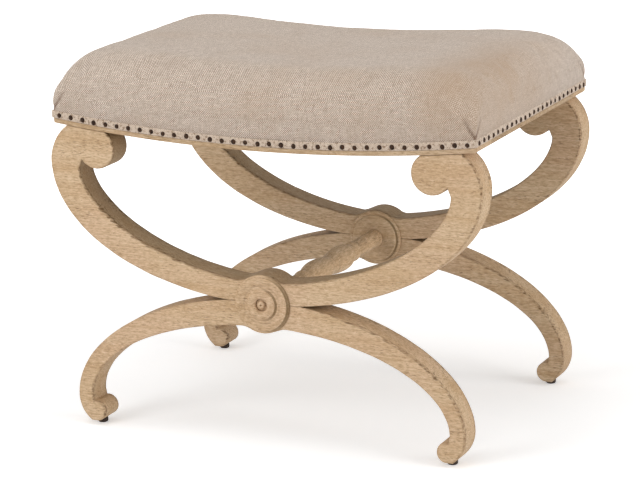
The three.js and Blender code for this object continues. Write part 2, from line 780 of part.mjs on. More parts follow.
// The cushion's form in loops from its rim to the middle of its top, for one layer of it.
// The inset is how far the layer lies inside the cover's outer face.
function cushionLoops(inset, rim) {
  const bandTop = bareStrip + bandWidth;
  const skin = gap + coverThickness - rebate - inset;
  const sideLevels = [rim, bandTop, bulgeHeight, sideHeight]
    .filter((height, i) => i === 0 || height > rim);
  const loops = sideLevels.map((height) => {
    const rise = Math.min(Math.max((height - bandTop) / (bulgeHeight - bandTop), 0), 1);
    const swell = skin + sideBulge * rise;
    return cushionOutline(swell).map(({ x, y }) => new THREE.Vector3(x, y, seatUnderside(x) + height));
  });
  const edgeX = halfLength + skin + sideBulge;
  const edgeY = halfDepth + skin + sideBulge;
  const edge = cushionOutline(skin + sideBulge);
  const leastHeight = sideHeight + cornerLift - inset * cornerLayerShare;
  for (let ring = 1; ring <= cushionRings; ring += 1) {
    const reach = 1 - (ring / cushionRings) ** cushionRingPower;
    const loop = ring === cushionRings ? edge.slice(0, 1) : edge;
    loops.push(loop.map((point) => {
      const [x, y] = [point.x * reach, point.y * reach];
      const rise = rounded(edgeX - Math.abs(x), endRounding, endRoundingPower)
        * rounded(edgeY - Math.abs(y), sideRounding, sideRoundingPower);
      const top = cushionHeight - inset + cushionEndRise * (x / edgeX) ** 2
        + cushionCrown * (1 - (y / edgeY) ** 2);
      const height = Math.max(bulgeHeight + (top - bulgeHeight) * rise, leastHeight);
      return new THREE.Vector3(x, y, seatUnderside(x) + height);
    }));
  }
  return loops;
}

function paddedShell(inset, thickness, rim) {
  const outside = cushionLoops(inset, rim);
  const inside = cushionLoops(inset + thickness, rim).reverse();
  return loft(inside.concat(outside));
}

function foamPad(inset, rim) {
  const upper = cushionLoops(inset, rim);
  const floor = Array.from({ length: cushionFloorRings }, (_, i) => {
    const reach = i / cushionFloorRings;
    const loop = i === 0 ? upper[0].slice(0, 1) : upper[0];
    return loop.map((point) => {
      const x = point.x * reach;
      return new THREE.Vector3(x, point.y * reach, seatUnderside(x) + rim);
    });
  });
  return loft(floor.concat(upper));
}

// A round nail head, its base on the plane y = 0 and its dome towards -Y
function nailHead() {
  return turned([
    [0, nailSink], [nailRadius, nailSink], [nailRadius, 0],
    [nailRadius * nailDomeShare, -nailHeight * nailDomeShare], [0, -nailHeight],
  ], nailFacets);
}

function nailPlaces(length, count) {
  const span = length - 2 * nailEndInset;
  return Array.from({ length: count }, (_, i) => -span / 2 + (span * i) / (count - 1));
}

// The bands lie flush with the bare strip and stop short of the rounded corners
function longBand(side) {
  const reach = halfLength - bandEndInset;
  const strip = curvedBar(
    -reach, reach, -halfDepth, -halfDepth + bandThickness, trimFoot, trimFoot + bandWidth,
  );
  const heads = nailPlaces(seatLength, longNailCount).map((x) =>
    nailHead().translate(x, -halfDepth, seatUnderside(x) + trimFoot + nailLift));
  return join(strip, heads).rotateZ(side < 0 ? 0 : Math.PI);
}

function shortBand(side) {
  const reach = halfDepth - bandEndInset;
  const bottom = seatUnderside(halfLength) + trimFoot;
  const strip = new THREE.BoxGeometry(2 * reach, bandThickness, bandWidth).translate(
    0, -halfLength + bandThickness / 2, bottom + bandWidth / 2,
  );
  const heads = nailPlaces(seatDepth, shortNailCount).map((x) =>
    nailHead().translate(x, -halfLength, bottom + nailLift));
  return join(strip, heads).rotateZ((side * Math.PI) / 2);
}

function upholstery() {
  const group = new THREE.Group();
  const floor = railHeight + gap;
  const padBottom = railHeight + webThickness + hessianThickness + 3 * gap;
  const battingInset = coverThickness + gap;
  group.add(...webStraps());
  group.add(named('hessian_sheet', hessianSheet(), hessian));
  group.add(named('foam_pad', foamPad(battingInset + battingThickness + gap, padBottom), foam));
  group.add(named('batting', paddedShell(battingInset, battingThickness, floor), wadding));
  group.add(named('seat_cover', paddedShell(0, coverThickness, trimFoot), linen));
  group.add(named('front_trim_band', longBand(-1), linen));
  group.add(named('back_trim_band', longBand(1), linen));
  group.add(named('left_trim_band', shortBand(-1), linen));
  group.add(named('right_trim_band', shortBand(1), linen));
  group.add(named('dust_cover', dustCover(), blackCloth));
  return group;
}

const stool = new THREE.Group();
stool.name = 'x_frame_stool';
stool.add(sideFrame('front', 0), sideFrame('back', Math.PI));
stool.add(named('stretcher', stretcher(), oak, 0, 0, hubHeight));
stool.add(seatFrame(), upholstery());

export default stool;
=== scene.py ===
# %% [markdown]
# # A bench stool on two crossed frames
# The stool has two X shaped frames of pale oak. Each one is a U shaped upper arc that stands on an
# arch shaped lower arc, with a turned disc over the crossing, and a turned bar joins the two. On
# top is a seat with a curved frame, a stuffed linen cushion and a row of nail heads.

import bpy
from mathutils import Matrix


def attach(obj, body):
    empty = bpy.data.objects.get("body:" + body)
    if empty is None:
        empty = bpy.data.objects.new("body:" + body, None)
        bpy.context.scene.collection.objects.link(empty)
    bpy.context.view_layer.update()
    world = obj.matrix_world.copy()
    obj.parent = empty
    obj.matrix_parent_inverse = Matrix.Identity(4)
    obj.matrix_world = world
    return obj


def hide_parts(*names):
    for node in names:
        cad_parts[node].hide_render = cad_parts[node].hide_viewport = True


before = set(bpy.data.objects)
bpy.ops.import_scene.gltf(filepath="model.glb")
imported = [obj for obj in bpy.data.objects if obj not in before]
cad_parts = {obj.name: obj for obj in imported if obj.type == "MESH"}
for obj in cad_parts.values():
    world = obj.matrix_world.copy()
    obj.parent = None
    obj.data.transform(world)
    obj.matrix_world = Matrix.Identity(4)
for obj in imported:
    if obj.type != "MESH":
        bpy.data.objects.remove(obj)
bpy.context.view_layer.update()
print("solids loaded:", len(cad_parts))

# %% [markdown]
# ## The camera
# The photograph was taken from far away with a long lens, so lines that are parallel on the stool
# stay almost parallel in the picture. A camera is a point, three directions and a lens. The
# directions are written out as a matrix, because that also holds the small roll of the picture.

# %% Camera
import random
from math import asin, atan2, copysign, cos, dist, exp, hypot, pi, radians, sin, sqrt, tanh

import bmesh
import bpy
from mathutils import Matrix, Vector, noise

MM = 0.001
scene = bpy.context.scene
scene.view_settings.view_transform = "Standard"


def added(name, data):
    obj = bpy.data.objects.new(name, data)
    scene.collection.objects.link(obj)
    return obj


def aim(azimuth, elevation, roll, distance, target):
    a, e, r = (radians(value) for value in (azimuth, elevation, roll))
    back = Vector((sin(a) * cos(e), -cos(a) * cos(e), sin(e)))
    right = Vector((cos(a), sin(a), 0))
    up = back.cross(right)
    across = right * cos(r) + up * sin(r)
    upward = up * cos(r) - right * sin(r)
    turn = Matrix((across, upward, back)).transposed().to_4x4()
    return Matrix.Translation(target + back * distance) @ turn


AZIMUTH, ELEVATION, ROLL = 24.74, 14.32, -1.41
DISTANCE = 3.9735
MIDDLE = Vector((-0.0109, 0, 0.2431))
camera = added("camera", bpy.data.cameras.new("camera"))
camera.matrix_world = aim(AZIMUTH, ELEVATION, ROLL, DISTANCE, MIDDLE)
camera.data.lens = 154.85
camera.data.clip_end = 60
scene.camera = camera
print("camera at", [round(value, 3) for value in camera.matrix_world.translation])

# %% [markdown]
# ## A short way to write materials
# A material is a graph of nodes. Written out in full, each node takes several lines, so a small
# class keeps the graph and adds a node in one line. A second class does the same for a whole
# material. A value that is the same all over the surface goes straight onto the shader's socket,
# and only what changes from place to place is linked.

# %% Graphs of nodes


class Graph:
    """Adds nodes to a tree. Each method gives back the socket that the next node reads."""

    def __init__(self, tree):
        self.tree = tree

    def add(self, kind, *inputs, **settings):
        node = self.tree.nodes.new("ShaderNode" + kind)
        for key, value in settings.items():
            setattr(node, key, value)
        for index, value in enumerate(inputs):
            self.put(value, node.inputs[index])
        return node

    def put(self, value, socket):
        if isinstance(value, bpy.types.NodeSocket):
            self.tree.links.new(value, socket)
        elif value is not None:
            socket.default_value = value

    def math(self, operation, a, b=None):
        return self.add("Math", a, b, operation=operation).outputs[0]

    def times(self, a, b):
        return self.math("MULTIPLY", a, b)

    def vector(self, operation, a, b=None, c=None):
        outputs = self.add("VectorMath", a, b, c, operation=operation).outputs
        return outputs["Value" if operation in ("LENGTH", "DISTANCE") else "Vector"]

    def either(self, share, first, second):
        return self.add("Mix", share, None, first, second).outputs[0]

    def span(self, value, low, high, to_low=0.0, to_high=1.0):
        return self.add("MapRange", value, low, high, to_low, to_high).outputs[0]

    def place(self):
        return self.add("TexCoord").outputs["Object"]

    def mark(self, name):
        """A value that a piece keeps on each of its points."""
        return self.add("Attribute", attribute_name=name).outputs["Fac"]

    def stretched(self, place, scale, shift=(0, 0, 0)):
        node = self.add("Mapping", place)
        node.inputs["Scale"].default_value = scale
        node.inputs["Location"].default_value = shift
        return node.outputs[0]

    def noise(self, place, scale=1.0, detail=2.0, rough=0.5, distort=0.0, output="Fac"):
        node = self.add("TexNoise", place)
        for socket, value in (("Scale", scale), ("Detail", detail), ("Roughness", rough),
                              ("Distortion", distort)):
            node.inputs[socket].default_value = value
        return node.outputs[output]

    def blend(self, share, first, second):
        node = self.add("Mix", data_type="RGBA", clamp_factor=True)
        self.put(share, node.inputs[0])
        self.put(first, node.inputs[6])
        self.put(second, node.inputs[7])
        return node.outputs[2]

    def seen_plainly(self):
        """One where a ray comes from the camera, also by way of a mirror or glass."""
        rays = self.add("LightPath").outputs
        return self.math("MAXIMUM", rays["Is Camera Ray"],
                         self.math("MAXIMUM", rays["Is Glossy Ray"], rays["Is Transmission Ray"]))


print("graphs ready")

# %% Recipes of materials


class Recipe(Graph):
    """The graph of one material, with its constants on the shader's own sockets."""

    def __init__(self, name, **constants):
        self.material = bpy.data.materials.new(name)
        self.material.use_nodes = True
        super().__init__(self.material.node_tree)
        self.shader = self.tree.nodes["Principled BSDF"]
        for socket, value in constants.items():
            self.shader.inputs[socket.replace("_", " ")].default_value = value

    def finish(self, colour, rough=None, height=None, depth=0.0005, strength=0.6):
        self.put(colour, self.shader.inputs["Base Color"])
        self.put(rough, self.shader.inputs["Roughness"])
        if height is not None:
            bump = self.add("Bump")
            bump.inputs["Strength"].default_value = strength
            bump.inputs["Distance"].default_value = depth
            self.put(height, bump.inputs["Height"])
            self.put(bump.outputs[0], self.shader.inputs["Normal"])
        return self.material


def tone(red, green, blue):
    """A colour as it is seen in a picture, turned into the light that a shader reckons with."""
    return tuple((value / 255) ** 2.2 for value in (red, green, blue)) + (1.0,)


print("recipes ready")

# %% [markdown]
# ## Limed oak
# The wood is a pale oak with fine fibres, short dark pores and a whitish wash in the hollows. It
# was sawn from straight planks, so the fibres run level through the curved parts and come out at
# their edges as small dark nicks. That is why the grain is a pattern in space and not on the
# surface: noise is stretched along the fibres, and each curved face simply cuts through it. Worn
# edges and nicks near the rim follow two marks that the pieces keep, and these also hold painted
# shade on edges that face right or up and in the grooves of turned pieces. A third mark holds
# painted shade under the seat, inside the arcs, along the seam and on the right of the discs.

# %% Oak
GOLDEN = (1.0, 1.025, 0.965)


def oak(name, along="X", shift=(0, 0, 0), light=1.0):
    recipe = Recipe(name, Specular_IOR_Level=0.3)
    place = recipe.place()
    edge, rim, soaked = (recipe.mark(mark) for mark in ("edge", "rim", "soaked"))

    def grain(lengthwise, across, detail=1, **how):
        scale = {"X": (lengthwise, across, across), "Y": (across, lengthwise, across)}[along]
        return recipe.noise(recipe.stretched(place, scale, shift), detail=detail, **how)

    def shade(*seen):
        return tuple(value * warm * light for value, warm in zip(tone(*seen), GOLDEN)) + (1.0,)

    def wash(share, *seen):
        """Lays one more tone over the wood, as much of it as the share says."""
        nonlocal colour
        colour = recipe.blend(share, colour, shade(*seen))

    bands = grain(3, 42, detail=2, rough=0.55, distort=0.5)
    streaks = grain(20, 430, detail=2, rough=0.6, distort=0.2)
    fibres = grain(120, 520, detail=3, rough=0.7, distort=0.2)
    blush = recipe.noise(place, scale=7, detail=2)
    colour = recipe.blend(recipe.span(bands, 0.38, 0.64), shade(217, 187, 158), shade(205, 171, 138))
    wash(recipe.span(blush, 0.48, 0.66, 0, 0.4), 218, 182, 158)
    wash(recipe.span(streaks, 0.48, 0.68, 0, 0.42), 172, 138, 104)
    wash(recipe.span(fibres, 0.46, 0.68, 0, 0.62), 156, 123, 90)
    wash(recipe.span(fibres, 0.44, 0.28, 0, 0.6), 234, 210, 186)

    pores = grain(110, 700, distort=0.2)
    crowd = recipe.span(grain(9, 45), 0.35, 0.7, 0.76, 0.6)
    pore = recipe.span(recipe.math("SUBTRACT", pores, crowd), 0.0, 0.04)
    wash(recipe.times(pore, 0.5), 104, 76, 50)
    # Painted shade: a darker brown under the seat, inside the arcs, along the seam and on the right of
    # the discs.
    wash(soaked, 108, 86, 54)
    # Nicks near the rim of the flat faces, made stronger by painted shade where a face looks right or
    # up.
    ticks = grain(70, 330)
    patches = recipe.span(recipe.noise(place, scale=11, detail=1), 0.46, 0.6, 0.6, 1.0)
    limit = recipe.span(recipe.times(rim, patches), 0.0, 1.0, 0.85, 0.5)
    tick = recipe.span(recipe.math("SUBTRACT", ticks, limit), 0.0, 0.06)
    wash(recipe.times(tick, 0.6), 92, 68, 42)
    # Worn edges, with painted shade in the grooves of turned pieces and on edges that face right or
    # up.
    wash(recipe.times(edge, recipe.span(ticks, 0.42, 0.58, 0.15, 0.66)), 104, 76, 50)
    wash(recipe.span(recipe.noise(place, scale=480, detail=1), 0.69, 0.75, 0, 0.45), 118, 88, 60)
    dents = recipe.math("MAXIMUM", pore, tick)
    height = recipe.math("SUBTRACT", recipe.times(fibres, -0.7), dents)
    rough = recipe.span(fibres, 0.3, 0.7, 0.62, 0.82)
    return recipe.finish(colour, rough, height, depth=0.00035, strength=0.55)


# The back frame's copy has less light in its colour: painted shade.
oak_level = oak("limed_oak", light=0.95)
oak_back_shaded = oak("limed_oak_back", shift=(0.31, 0.17, 0.07), light=0.89)
oak_lengthwise = oak("limed_oak_lengthwise", along="Y", shift=(0.2, 0.4, 0.1))
print("oak:", oak_level.name, oak_back_shaded.name, oak_lengthwise.name)

# %% [markdown]
# ## Woven cloth
# Linen, webbing, jute and the dust cloth are all plain weaves: one set of threads goes over and
# under the other. A plain weave is a product of two sines, one for each set, and its sign says
# which set lies on top. The nodes choose the two directions from the way the surface faces, so
# the weave keeps its size on the top, the front and the ends without any unwrapping. The seat's
# linen is also darker and warmer round one place near its right end, and a mark on its points
# paints shade into the pleats and just above the trim.

# %% Weave
WARM_DARK_AT = (0.292, -0.042, 0.412)
WARM_DARK_SQUEEZE = (1.0, 0.35, 0.8)


def thread(recipe, number, run):
    """A noise that runs along each thread and starts anew at the next one."""
    cell = recipe.times(recipe.math("FLOOR", number), 3.7)
    spot = recipe.add("CombineXYZ", cell, recipe.times(run, 0.11), 0.0)
    return recipe.noise(spot.outputs[0], detail=2, rough=0.7)


def warm_dark_share(recipe, place, most):
    """How much of the warmer, darker tone shows: in soft clouds, and all round one place near the
    right end.
    """
    cloud = recipe.noise(place, scale=9, detail=3, rough=0.6)
    away = recipe.vector("DISTANCE", recipe.vector("MULTIPLY", place, WARM_DARK_SQUEEZE), WARM_DARK_AT)
    warm_dark_spot = recipe.times(recipe.span(away, 0.01, 0.1, 0.95, 0.0),
                          recipe.span(cloud, 0.35, 0.6, 0.5, 1.0))
    return recipe.math("MAXIMUM", recipe.span(cloud, 0.44, 0.7, 0, most), warm_dark_spot)


def weave(name, pitch, dark, light, gap, thread_gap_shade=0.6, patch=0.0, patch_tone=None, two_tone=0.03,
          flecks=0.0, **constants):
    recipe = Recipe(name, **constants)
    place = recipe.place()
    bend = recipe.vector("SUBTRACT", recipe.noise(place, scale=22, output="Color"), (0.5, 0.5, 0.5))
    moved = recipe.vector("MULTIPLY_ADD", bend, (3.2 * pitch,) * 3, place)
    x, y, z = recipe.add("SeparateXYZ", moved).outputs
    facing = recipe.add("SeparateXYZ", recipe.add("NewGeometry").outputs["True Normal"]).outputs
    steep = [recipe.math("ABSOLUTE", part) for part in facing]
    upward = recipe.math("GREATER_THAN", steep[2], 0.62)
    endways = recipe.times(recipe.math("GREATER_THAN", steep[0], steep[1]),
                           recipe.math("SUBTRACT", 1.0, upward))
    u = recipe.math("DIVIDE", recipe.either(endways, x, y), pitch)
    v = recipe.math("DIVIDE", recipe.either(upward, z, y), pitch)
    warp, weft = (recipe.math("SINE", recipe.times(side, pi)) for side in (u, v))
    product = recipe.times(warp, weft)
    over = recipe.span(product, -0.12, 0.12)
    crossing = recipe.math("ABSOLUTE", product)
    rise = recipe.either(over, crossing, recipe.math("POWER", crossing, 0.6))
    tint = recipe.math("ADD", recipe.either(over, thread(recipe, v, u), thread(recipe, u, v)),
                       recipe.span(over, 0.0, 1.0, -two_tone, two_tone))
    colour = recipe.blend(recipe.span(tint, 0.24, 0.76), tone(*dark), tone(*light))
    # Painted shade in the gaps between the threads.
    colour = recipe.blend(recipe.span(rise, 0.0, 0.55, thread_gap_shade, 0.0), colour, tone(*gap))
    if flecks:
        spots = recipe.noise(place, scale=260, detail=2, rough=0.6)
        colour = recipe.blend(recipe.span(spots, 0.53, 0.63, 0, flecks), colour, tone(*gap))
    if patch:
        colour = recipe.blend(warm_dark_share(recipe, place, patch), colour, tone(*patch_tone))
    # Painted shade in the pleats' folds and just above the trim.
    colour = recipe.blend(recipe.mark("fold_and_trim_shade"), colour, tone(98, 68, 48))
    return recipe.finish(colour, recipe.span(tint, 0.2, 0.8, 0.82, 0.96), rise, 0.0004, 0.7)


linen = weave("natural_linen", 0.0015, (151, 132, 115), (241, 227, 214), (120, 98, 80), thread_gap_shade=0.7,
              patch=0.24, patch_tone=(174, 145, 116), two_tone=0.19, Sheen_Weight=0.25)
trim_linen = weave("trim_linen", 0.0013, (196, 172, 150), (238, 224, 208), (128, 98, 72),
                   two_tone=0.08, flecks=0.75, Sheen_Weight=0.2)
jute_strap = weave("jute_strap", 0.0024, (158, 128, 84), (188, 158, 112), (92, 70, 42))
jute_cloth = weave("jute_cloth", 0.003, (172, 146, 102), (196, 170, 124), (88, 68, 44))
dust_cloth = weave("black_dust_cloth", 0.0009, (44, 42, 40), (58, 56, 54), (20, 19, 18))
print("cloths:", linen.name, trim_linen.name, jute_strap.name, jute_cloth.name, dust_cloth.name)

# %% [markdown]
# ## Small finishes
# The nail heads are old bronze, dark and nearly matt. Under the seat there are plain beech dowels
# and blocks and zinc plated screws, and under the feet there are dark felt glides.
# Each gets its own small recipe of noise for colour and roughness.

# %% Bronze, beech, steel and felt


def speckled(name, scale, first, second, rough, depth, stretch=(1, 1, 1), **constants):
    recipe = Recipe(name, **constants)
    place = recipe.stretched(recipe.place(), stretch)
    coarse = recipe.noise(place, scale=scale, detail=3, rough=0.65)
    fine = recipe.noise(place, scale=scale * 5, detail=2)
    colour = recipe.blend(recipe.span(coarse, 0.38, 0.64), tone(*first), tone(*second))
    return recipe.finish(colour, recipe.span(fine, 0.3, 0.7, *rough), fine, depth, 0.5)


bronze = speckled("antique_bronze", 420, (34, 22, 14), (70, 48, 32), (0.55, 0.75), 0.0002,
                  Metallic=0.2, Specular_IOR_Level=0.25)
beech = speckled("plain_beech", 6, (206, 174, 132), (222, 194, 154), (0.6, 0.75), 0.0002,
                 stretch=(3, 40, 40))
zinc = speckled("zinc_plate", 160, (150, 150, 152), (176, 176, 178), (0.25, 0.45), 0.0001,
                Metallic=0.9)
felt = speckled("dark_felt", 500, (44, 34, 29), (70, 56, 46), (0.75, 0.95), 0.0003)
print("small finishes ready")

# %% [markdown]
# ## Pieces
# Every piece here is a mesh of points and faces given in millimetres. One helper turns them into
# an object, shades it smoothly, lets it ride with the stool and hides the CAD solids that it
# stands for. It also keeps marks on the points, such as how near each one is to an edge. Others
# weave rows of points into faces, turn all faces outward, and close a thin sheet.

# %% Helpers for pieces


def make_piece(name, points, faces, material, slot, replaced=(), **marks):
    mesh = bpy.data.meshes.new(name)
    mesh.from_pydata([tuple(value * MM for value in point) for point in points], [], faces)
    mesh.materials.append(material)
    mesh.shade_smooth()
    for mark, values in marks.items():
        mesh.attributes.new(mark, "FLOAT", "POINT").data.foreach_set("value", values)
    obj = added(name, mesh)
    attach(obj, "root")
    if replaced:
        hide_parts(*replaced)
    return obj


def joined_rows(rows, count, closed=True):
    """Faces between rows of points that all have the same count."""
    last = count if closed else count - 1
    return [(row * count + i, row * count + (i + 1) % count,
             (row + 1) * count + (i + 1) % count, (row + 1) * count + i)
            for row in range(rows - 1) for i in range(last)]


def face_outward(obj, weld=False):
    """Turns all faces outward, and first joins points that lie on one another if that is asked."""
    shape = bmesh.new()
    shape.from_mesh(obj.data)
    if weld:
        bmesh.ops.remove_doubles(shape, verts=shape.verts, dist=0.02 * MM)
    bmesh.ops.recalc_face_normals(shape, faces=shape.faces)
    shape.to_mesh(obj.data)
    shape.free()
    return obj


def thin_sheet(wide, high):
    """Faces between two grids of points, one after the other, closed along their sides."""
    size = wide * high
    skin = joined_rows(high, wide, closed=False)
    faces = [face[::-1] for face in skin] + [tuple(size + i for i in face) for face in skin]
    loop = [*range(wide), *(wide * (j + 1) - 1 for j in range(1, high)),
            *(size - 2 - i for i in range(wide - 1)),
            *(wide * (high - 1 - j) for j in range(1, high - 1))]
    return faces + [(a, b, b + size, a + size) for a, b in zip(loop, loop[1:] + loop[:1])]


print("piece helpers ready")

# %% [markdown]
# ## Outlines of the two arcs
# Both arcs are cut from a 40 mm plank, so each is a flat outline with a thickness. The outer and
# inner edges are parts of ellipses and superellipses, and the scrolls, shoulders and ankles are
# circles. Each outline is drawn for the right half and mirrored to the left. It swells round the
# crossing, where the disc sits, and a soft maximum of the two curves makes the swell run out.

# %% Curves
HALF_LENGTH = 317.5
HALF_DEPTH = 219.0
SEAT_BOTTOM = 420.5
SEAT_RADIUS = (HALF_LENGTH ** 2 + 20 ** 2) / 40
SEAM = 206.8
HUB = 205.5
HUB_SWELL = 41.5
SWELL_SOFTNESS = 9.0
FRAME_Y = 197.2
HALF_PLANK = 20.0
GAP = 0.3


def seat_underside(x):
    return SEAT_BOTTOM + SEAT_RADIUS - sqrt(SEAT_RADIUS ** 2 - x ** 2)


def rim_height(x, half_width, rise, power):
    share = min(abs(x) / half_width, 1.0)
    return rise * (1 - share ** power) ** (1 / power)


def rim_places(half_width, start, steps):
    first = asin(start / half_width)
    return [half_width * sin(first + (pi / 2 - first) * i / steps)
            for i in range(steps + 1)]


def circle_points(x, z, radius, first, last, steps):
    angles = [first + (last - first) * i / steps for i in range(steps + 1)]
    return [(x + radius * cos(a), z + radius * sin(a)) for a in angles]


def soft_max(a, b, softness):
    overlap = max(softness - abs(a - b), 0) / softness
    return max(a, b) + overlap ** 2 * softness / 4


def hub_rise(x):
    return sqrt(max(HUB_SWELL ** 2 - x ** 2, 0))


def mirrored(half):
    whole = half + [(-x, z) for x, z in reversed(half)]
    return [p for i, p in enumerate(whole) if dist(p, whole[i - 1]) > 0.6]


print("underside of the seat at its ends:", round(seat_underside(HALF_LENGTH), 1))

# %% The upper arc's outline
ARM_REACH, ARM_LEVEL, ARM_DROP = 324.5, 385.0, 180.5
SHOULDER = 63.0
SHOULDER_X = ARM_REACH - SHOULDER
SCROLL, SCROLL_X, SCROLL_Z = 29.0, 252.5, 407.0
HOLLOW_REACH, HOLLOW_LEVEL, HOLLOW_DROP, HOLLOW_POWER = 279.9, 377.5, 142.5, 1.768
NOTCH_RISE, NOTCH_CURVE = 11.2, 66.0


def upper_outline():
    seam_reach = ARM_REACH * sqrt(1 - ((ARM_LEVEL - SEAM - GAP / 2) / ARM_DROP) ** 2)
    half = [(x, SEAM + GAP / 2) for x in (0, 12, 24, 36, 46)]
    half += [(x, ARM_LEVEL - rim_height(x, ARM_REACH, ARM_DROP, 2))
             for x in rim_places(ARM_REACH, seam_reach, 90)]
    touch = seat_underside(SHOULDER_X + SHOULDER / 2) - GAP
    turn = asin((touch - ARM_LEVEL) / SHOULDER)
    half += circle_points(SHOULDER_X, ARM_LEVEL, SHOULDER, 0, turn, 24)[1:-1]
    shoulder_end = SHOULDER_X + SHOULDER * cos(turn)
    scroll_turn = asin((seat_underside(SCROLL_X - SCROLL / 2) - GAP - SCROLL_Z) / SCROLL)
    scroll_end = SCROLL_X - SCROLL * cos(scroll_turn)
    for i in range(13):
        x = shoulder_end + (scroll_end - shoulder_end) * i / 12
        half.append((x, seat_underside(x) - GAP))
    notch = (HOLLOW_REACH * sqrt(1 - (NOTCH_RISE / NOTCH_CURVE) ** 2), HOLLOW_LEVEL + NOTCH_RISE)
    notch_turn = atan2(notch[1] - SCROLL_Z, notch[0] - SCROLL_X)
    half += circle_points(SCROLL_X, SCROLL_Z, SCROLL, pi - scroll_turn, 2 * pi + notch_turn,
                          48)[1:]
    for x in reversed(rim_places(HOLLOW_REACH, 0, 90)):
        edge = HOLLOW_LEVEL - rim_height(x, HOLLOW_REACH, HOLLOW_DROP, HOLLOW_POWER)
        half.append((x, soft_max(edge, HUB + hub_rise(x), SWELL_SOFTNESS)))
    return mirrored(half)


print("points round the upper arc:", len(upper_outline()))

# %% The lower arc's outline
LEG_REACH, LEG_LEVEL, LEG_RISE, LEG_POWER = 297.1, 45.0, 165.3, 1.924
ARCH_REACH, ARCH_RISE, ARCH_POWER = 274.1, 127.5, 1.96
ANKLE = 47.8
ANKLE_X = LEG_REACH - ANKLE
FOOT, FOOT_X, FOOT_Z, FOOT_UNDER = 14.8, 269.6, 21.5, 6.8


def lower_outline():
    top = SEAM - GAP / 2 - LEG_LEVEL
    seam_reach = LEG_REACH * (1 - (top / LEG_RISE) ** LEG_POWER) ** (1 / LEG_POWER)
    half = [(x, SEAM - GAP / 2) for x in (0, 12, 24, 36, 48)]
    half += [(x, LEG_LEVEL + rim_height(x, LEG_REACH, LEG_RISE, LEG_POWER))
             for x in rim_places(LEG_REACH, seam_reach, 90)]
    half += circle_points(ANKLE_X, LEG_LEVEL, ANKLE, 0, -asin((LEG_LEVEL - FOOT_UNDER) / ANKLE),
                          24)[1:]
    start = pi + asin((FOOT_Z - FOOT_UNDER) / FOOT)
    inside = ARCH_REACH - ANKLE_X
    span = hypot(FOOT_X - ANKLE_X, FOOT_Z - LEG_LEVEL)
    along = (inside ** 2 - FOOT ** 2 + span ** 2) / (2 * span)
    across = sqrt(inside ** 2 - along ** 2)
    ux, uz = (FOOT_X - ANKLE_X) / span, (FOOT_Z - LEG_LEVEL) / span
    notch = (ANKLE_X + along * ux - across * uz, LEG_LEVEL + along * uz + across * ux)
    end = atan2(notch[1] - FOOT_Z, notch[0] - FOOT_X)
    half += circle_points(FOOT_X, FOOT_Z, FOOT, start, end, 40)
    for x in reversed(rim_places(ARCH_REACH, 0, 90)):
        edge = LEG_LEVEL + rim_height(x, ARCH_REACH, ARCH_RISE, ARCH_POWER)
        half.append((x, -soft_max(-edge, hub_rise(x) - HUB, SWELL_SOFTNESS)))
    return mirrored(half)[::-1]


print("points round the lower arc:", len(lower_outline()))

# %% [markdown]
# ## Planks with softened edges
# A cut plank has edges that were sanded by hand. A bevel modifier would do it, but where the
# scroll meets the arc it runs into itself. So the outline is drawn again a little further in for
# each step of a quarter round, and one more time to keep the flat face flat. The radius wanders a
# little along the edge, as sandpaper leaves it. Each point also gets the three marks that the oak
# reads: how near it is to a rounded edge, how near to the rim of a flat face, and how much painted
# shade it gets under the seat, inside the arcs and along the seam. The first two marks are
# strongest on edges that look to the right or upward, which is painted shade over the wear.

# %% Steps into the wood
EDGE = 1.9
FACE_INSET = 4.6
QUARTER = [radians(90 * i / 4) for i in range(5)]


def inward_steps(outline):
    """For each point, the step into the wood that moves both of its sides in by one."""
    steps = []
    for i, (x, z) in enumerate(outline):
        before, after = outline[i - 1], outline[(i + 1) % len(outline)]
        first = Vector((x - before[0], z - before[1])).normalized()
        second = Vector((after[0] - x, after[1] - z)).normalized()
        normal = Vector((-first.y - second.y, first.x + second.x))
        square = normal.length_squared
        steps.append(normal * min(2 / square, 1.2) if square > 0.05 else normal)
    return steps


def plank_levels():
    """From the front face to the back: how far in, the angle of the round, how deep, the marks."""
    flat = [(FACE_INSET, 0.0), (0.0, 1.0)]
    levels = [(extra, None, 0.0, 0.0, near_rim) for extra, near_rim in flat]
    levels += [(0, a, 0.0, 1.0, 1.0) for a in reversed(QUARTER)]
    levels += [(0, 0.0, 0.12, 0.0, 0.9), (0, 0.0, 0.5, 0.0, 0.5), (0, 0.0, 0.88, 0.0, 0.9)]
    levels += [(0, a, 1.0, 1.0, 1.0) for a in QUARTER]
    return levels + [(extra, None, 1.0, 0.0, near_rim) for extra, near_rim in reversed(flat)]


def painted_hollow_shade(x, z, out):
    """How much painted shade a side face gets: inside the arcs, under the seat and along the seam."""
    under = max(1 - abs(seat_underside(x) - z) / 20, 0.0) if abs(x) < 290 else 0.0
    wedge = max(1 - abs(z - SEAM) / 6, 0.0) if abs(x) > 46 else 0.0
    inner = 0.44 if z > SEAM and (out.x * x < 0 or out.y > 0.8) else 0.06
    return max(inner, 0.85 * under, 0.8 * wedge)


print("levels through a plank:", len(plank_levels()))

# %% Plank


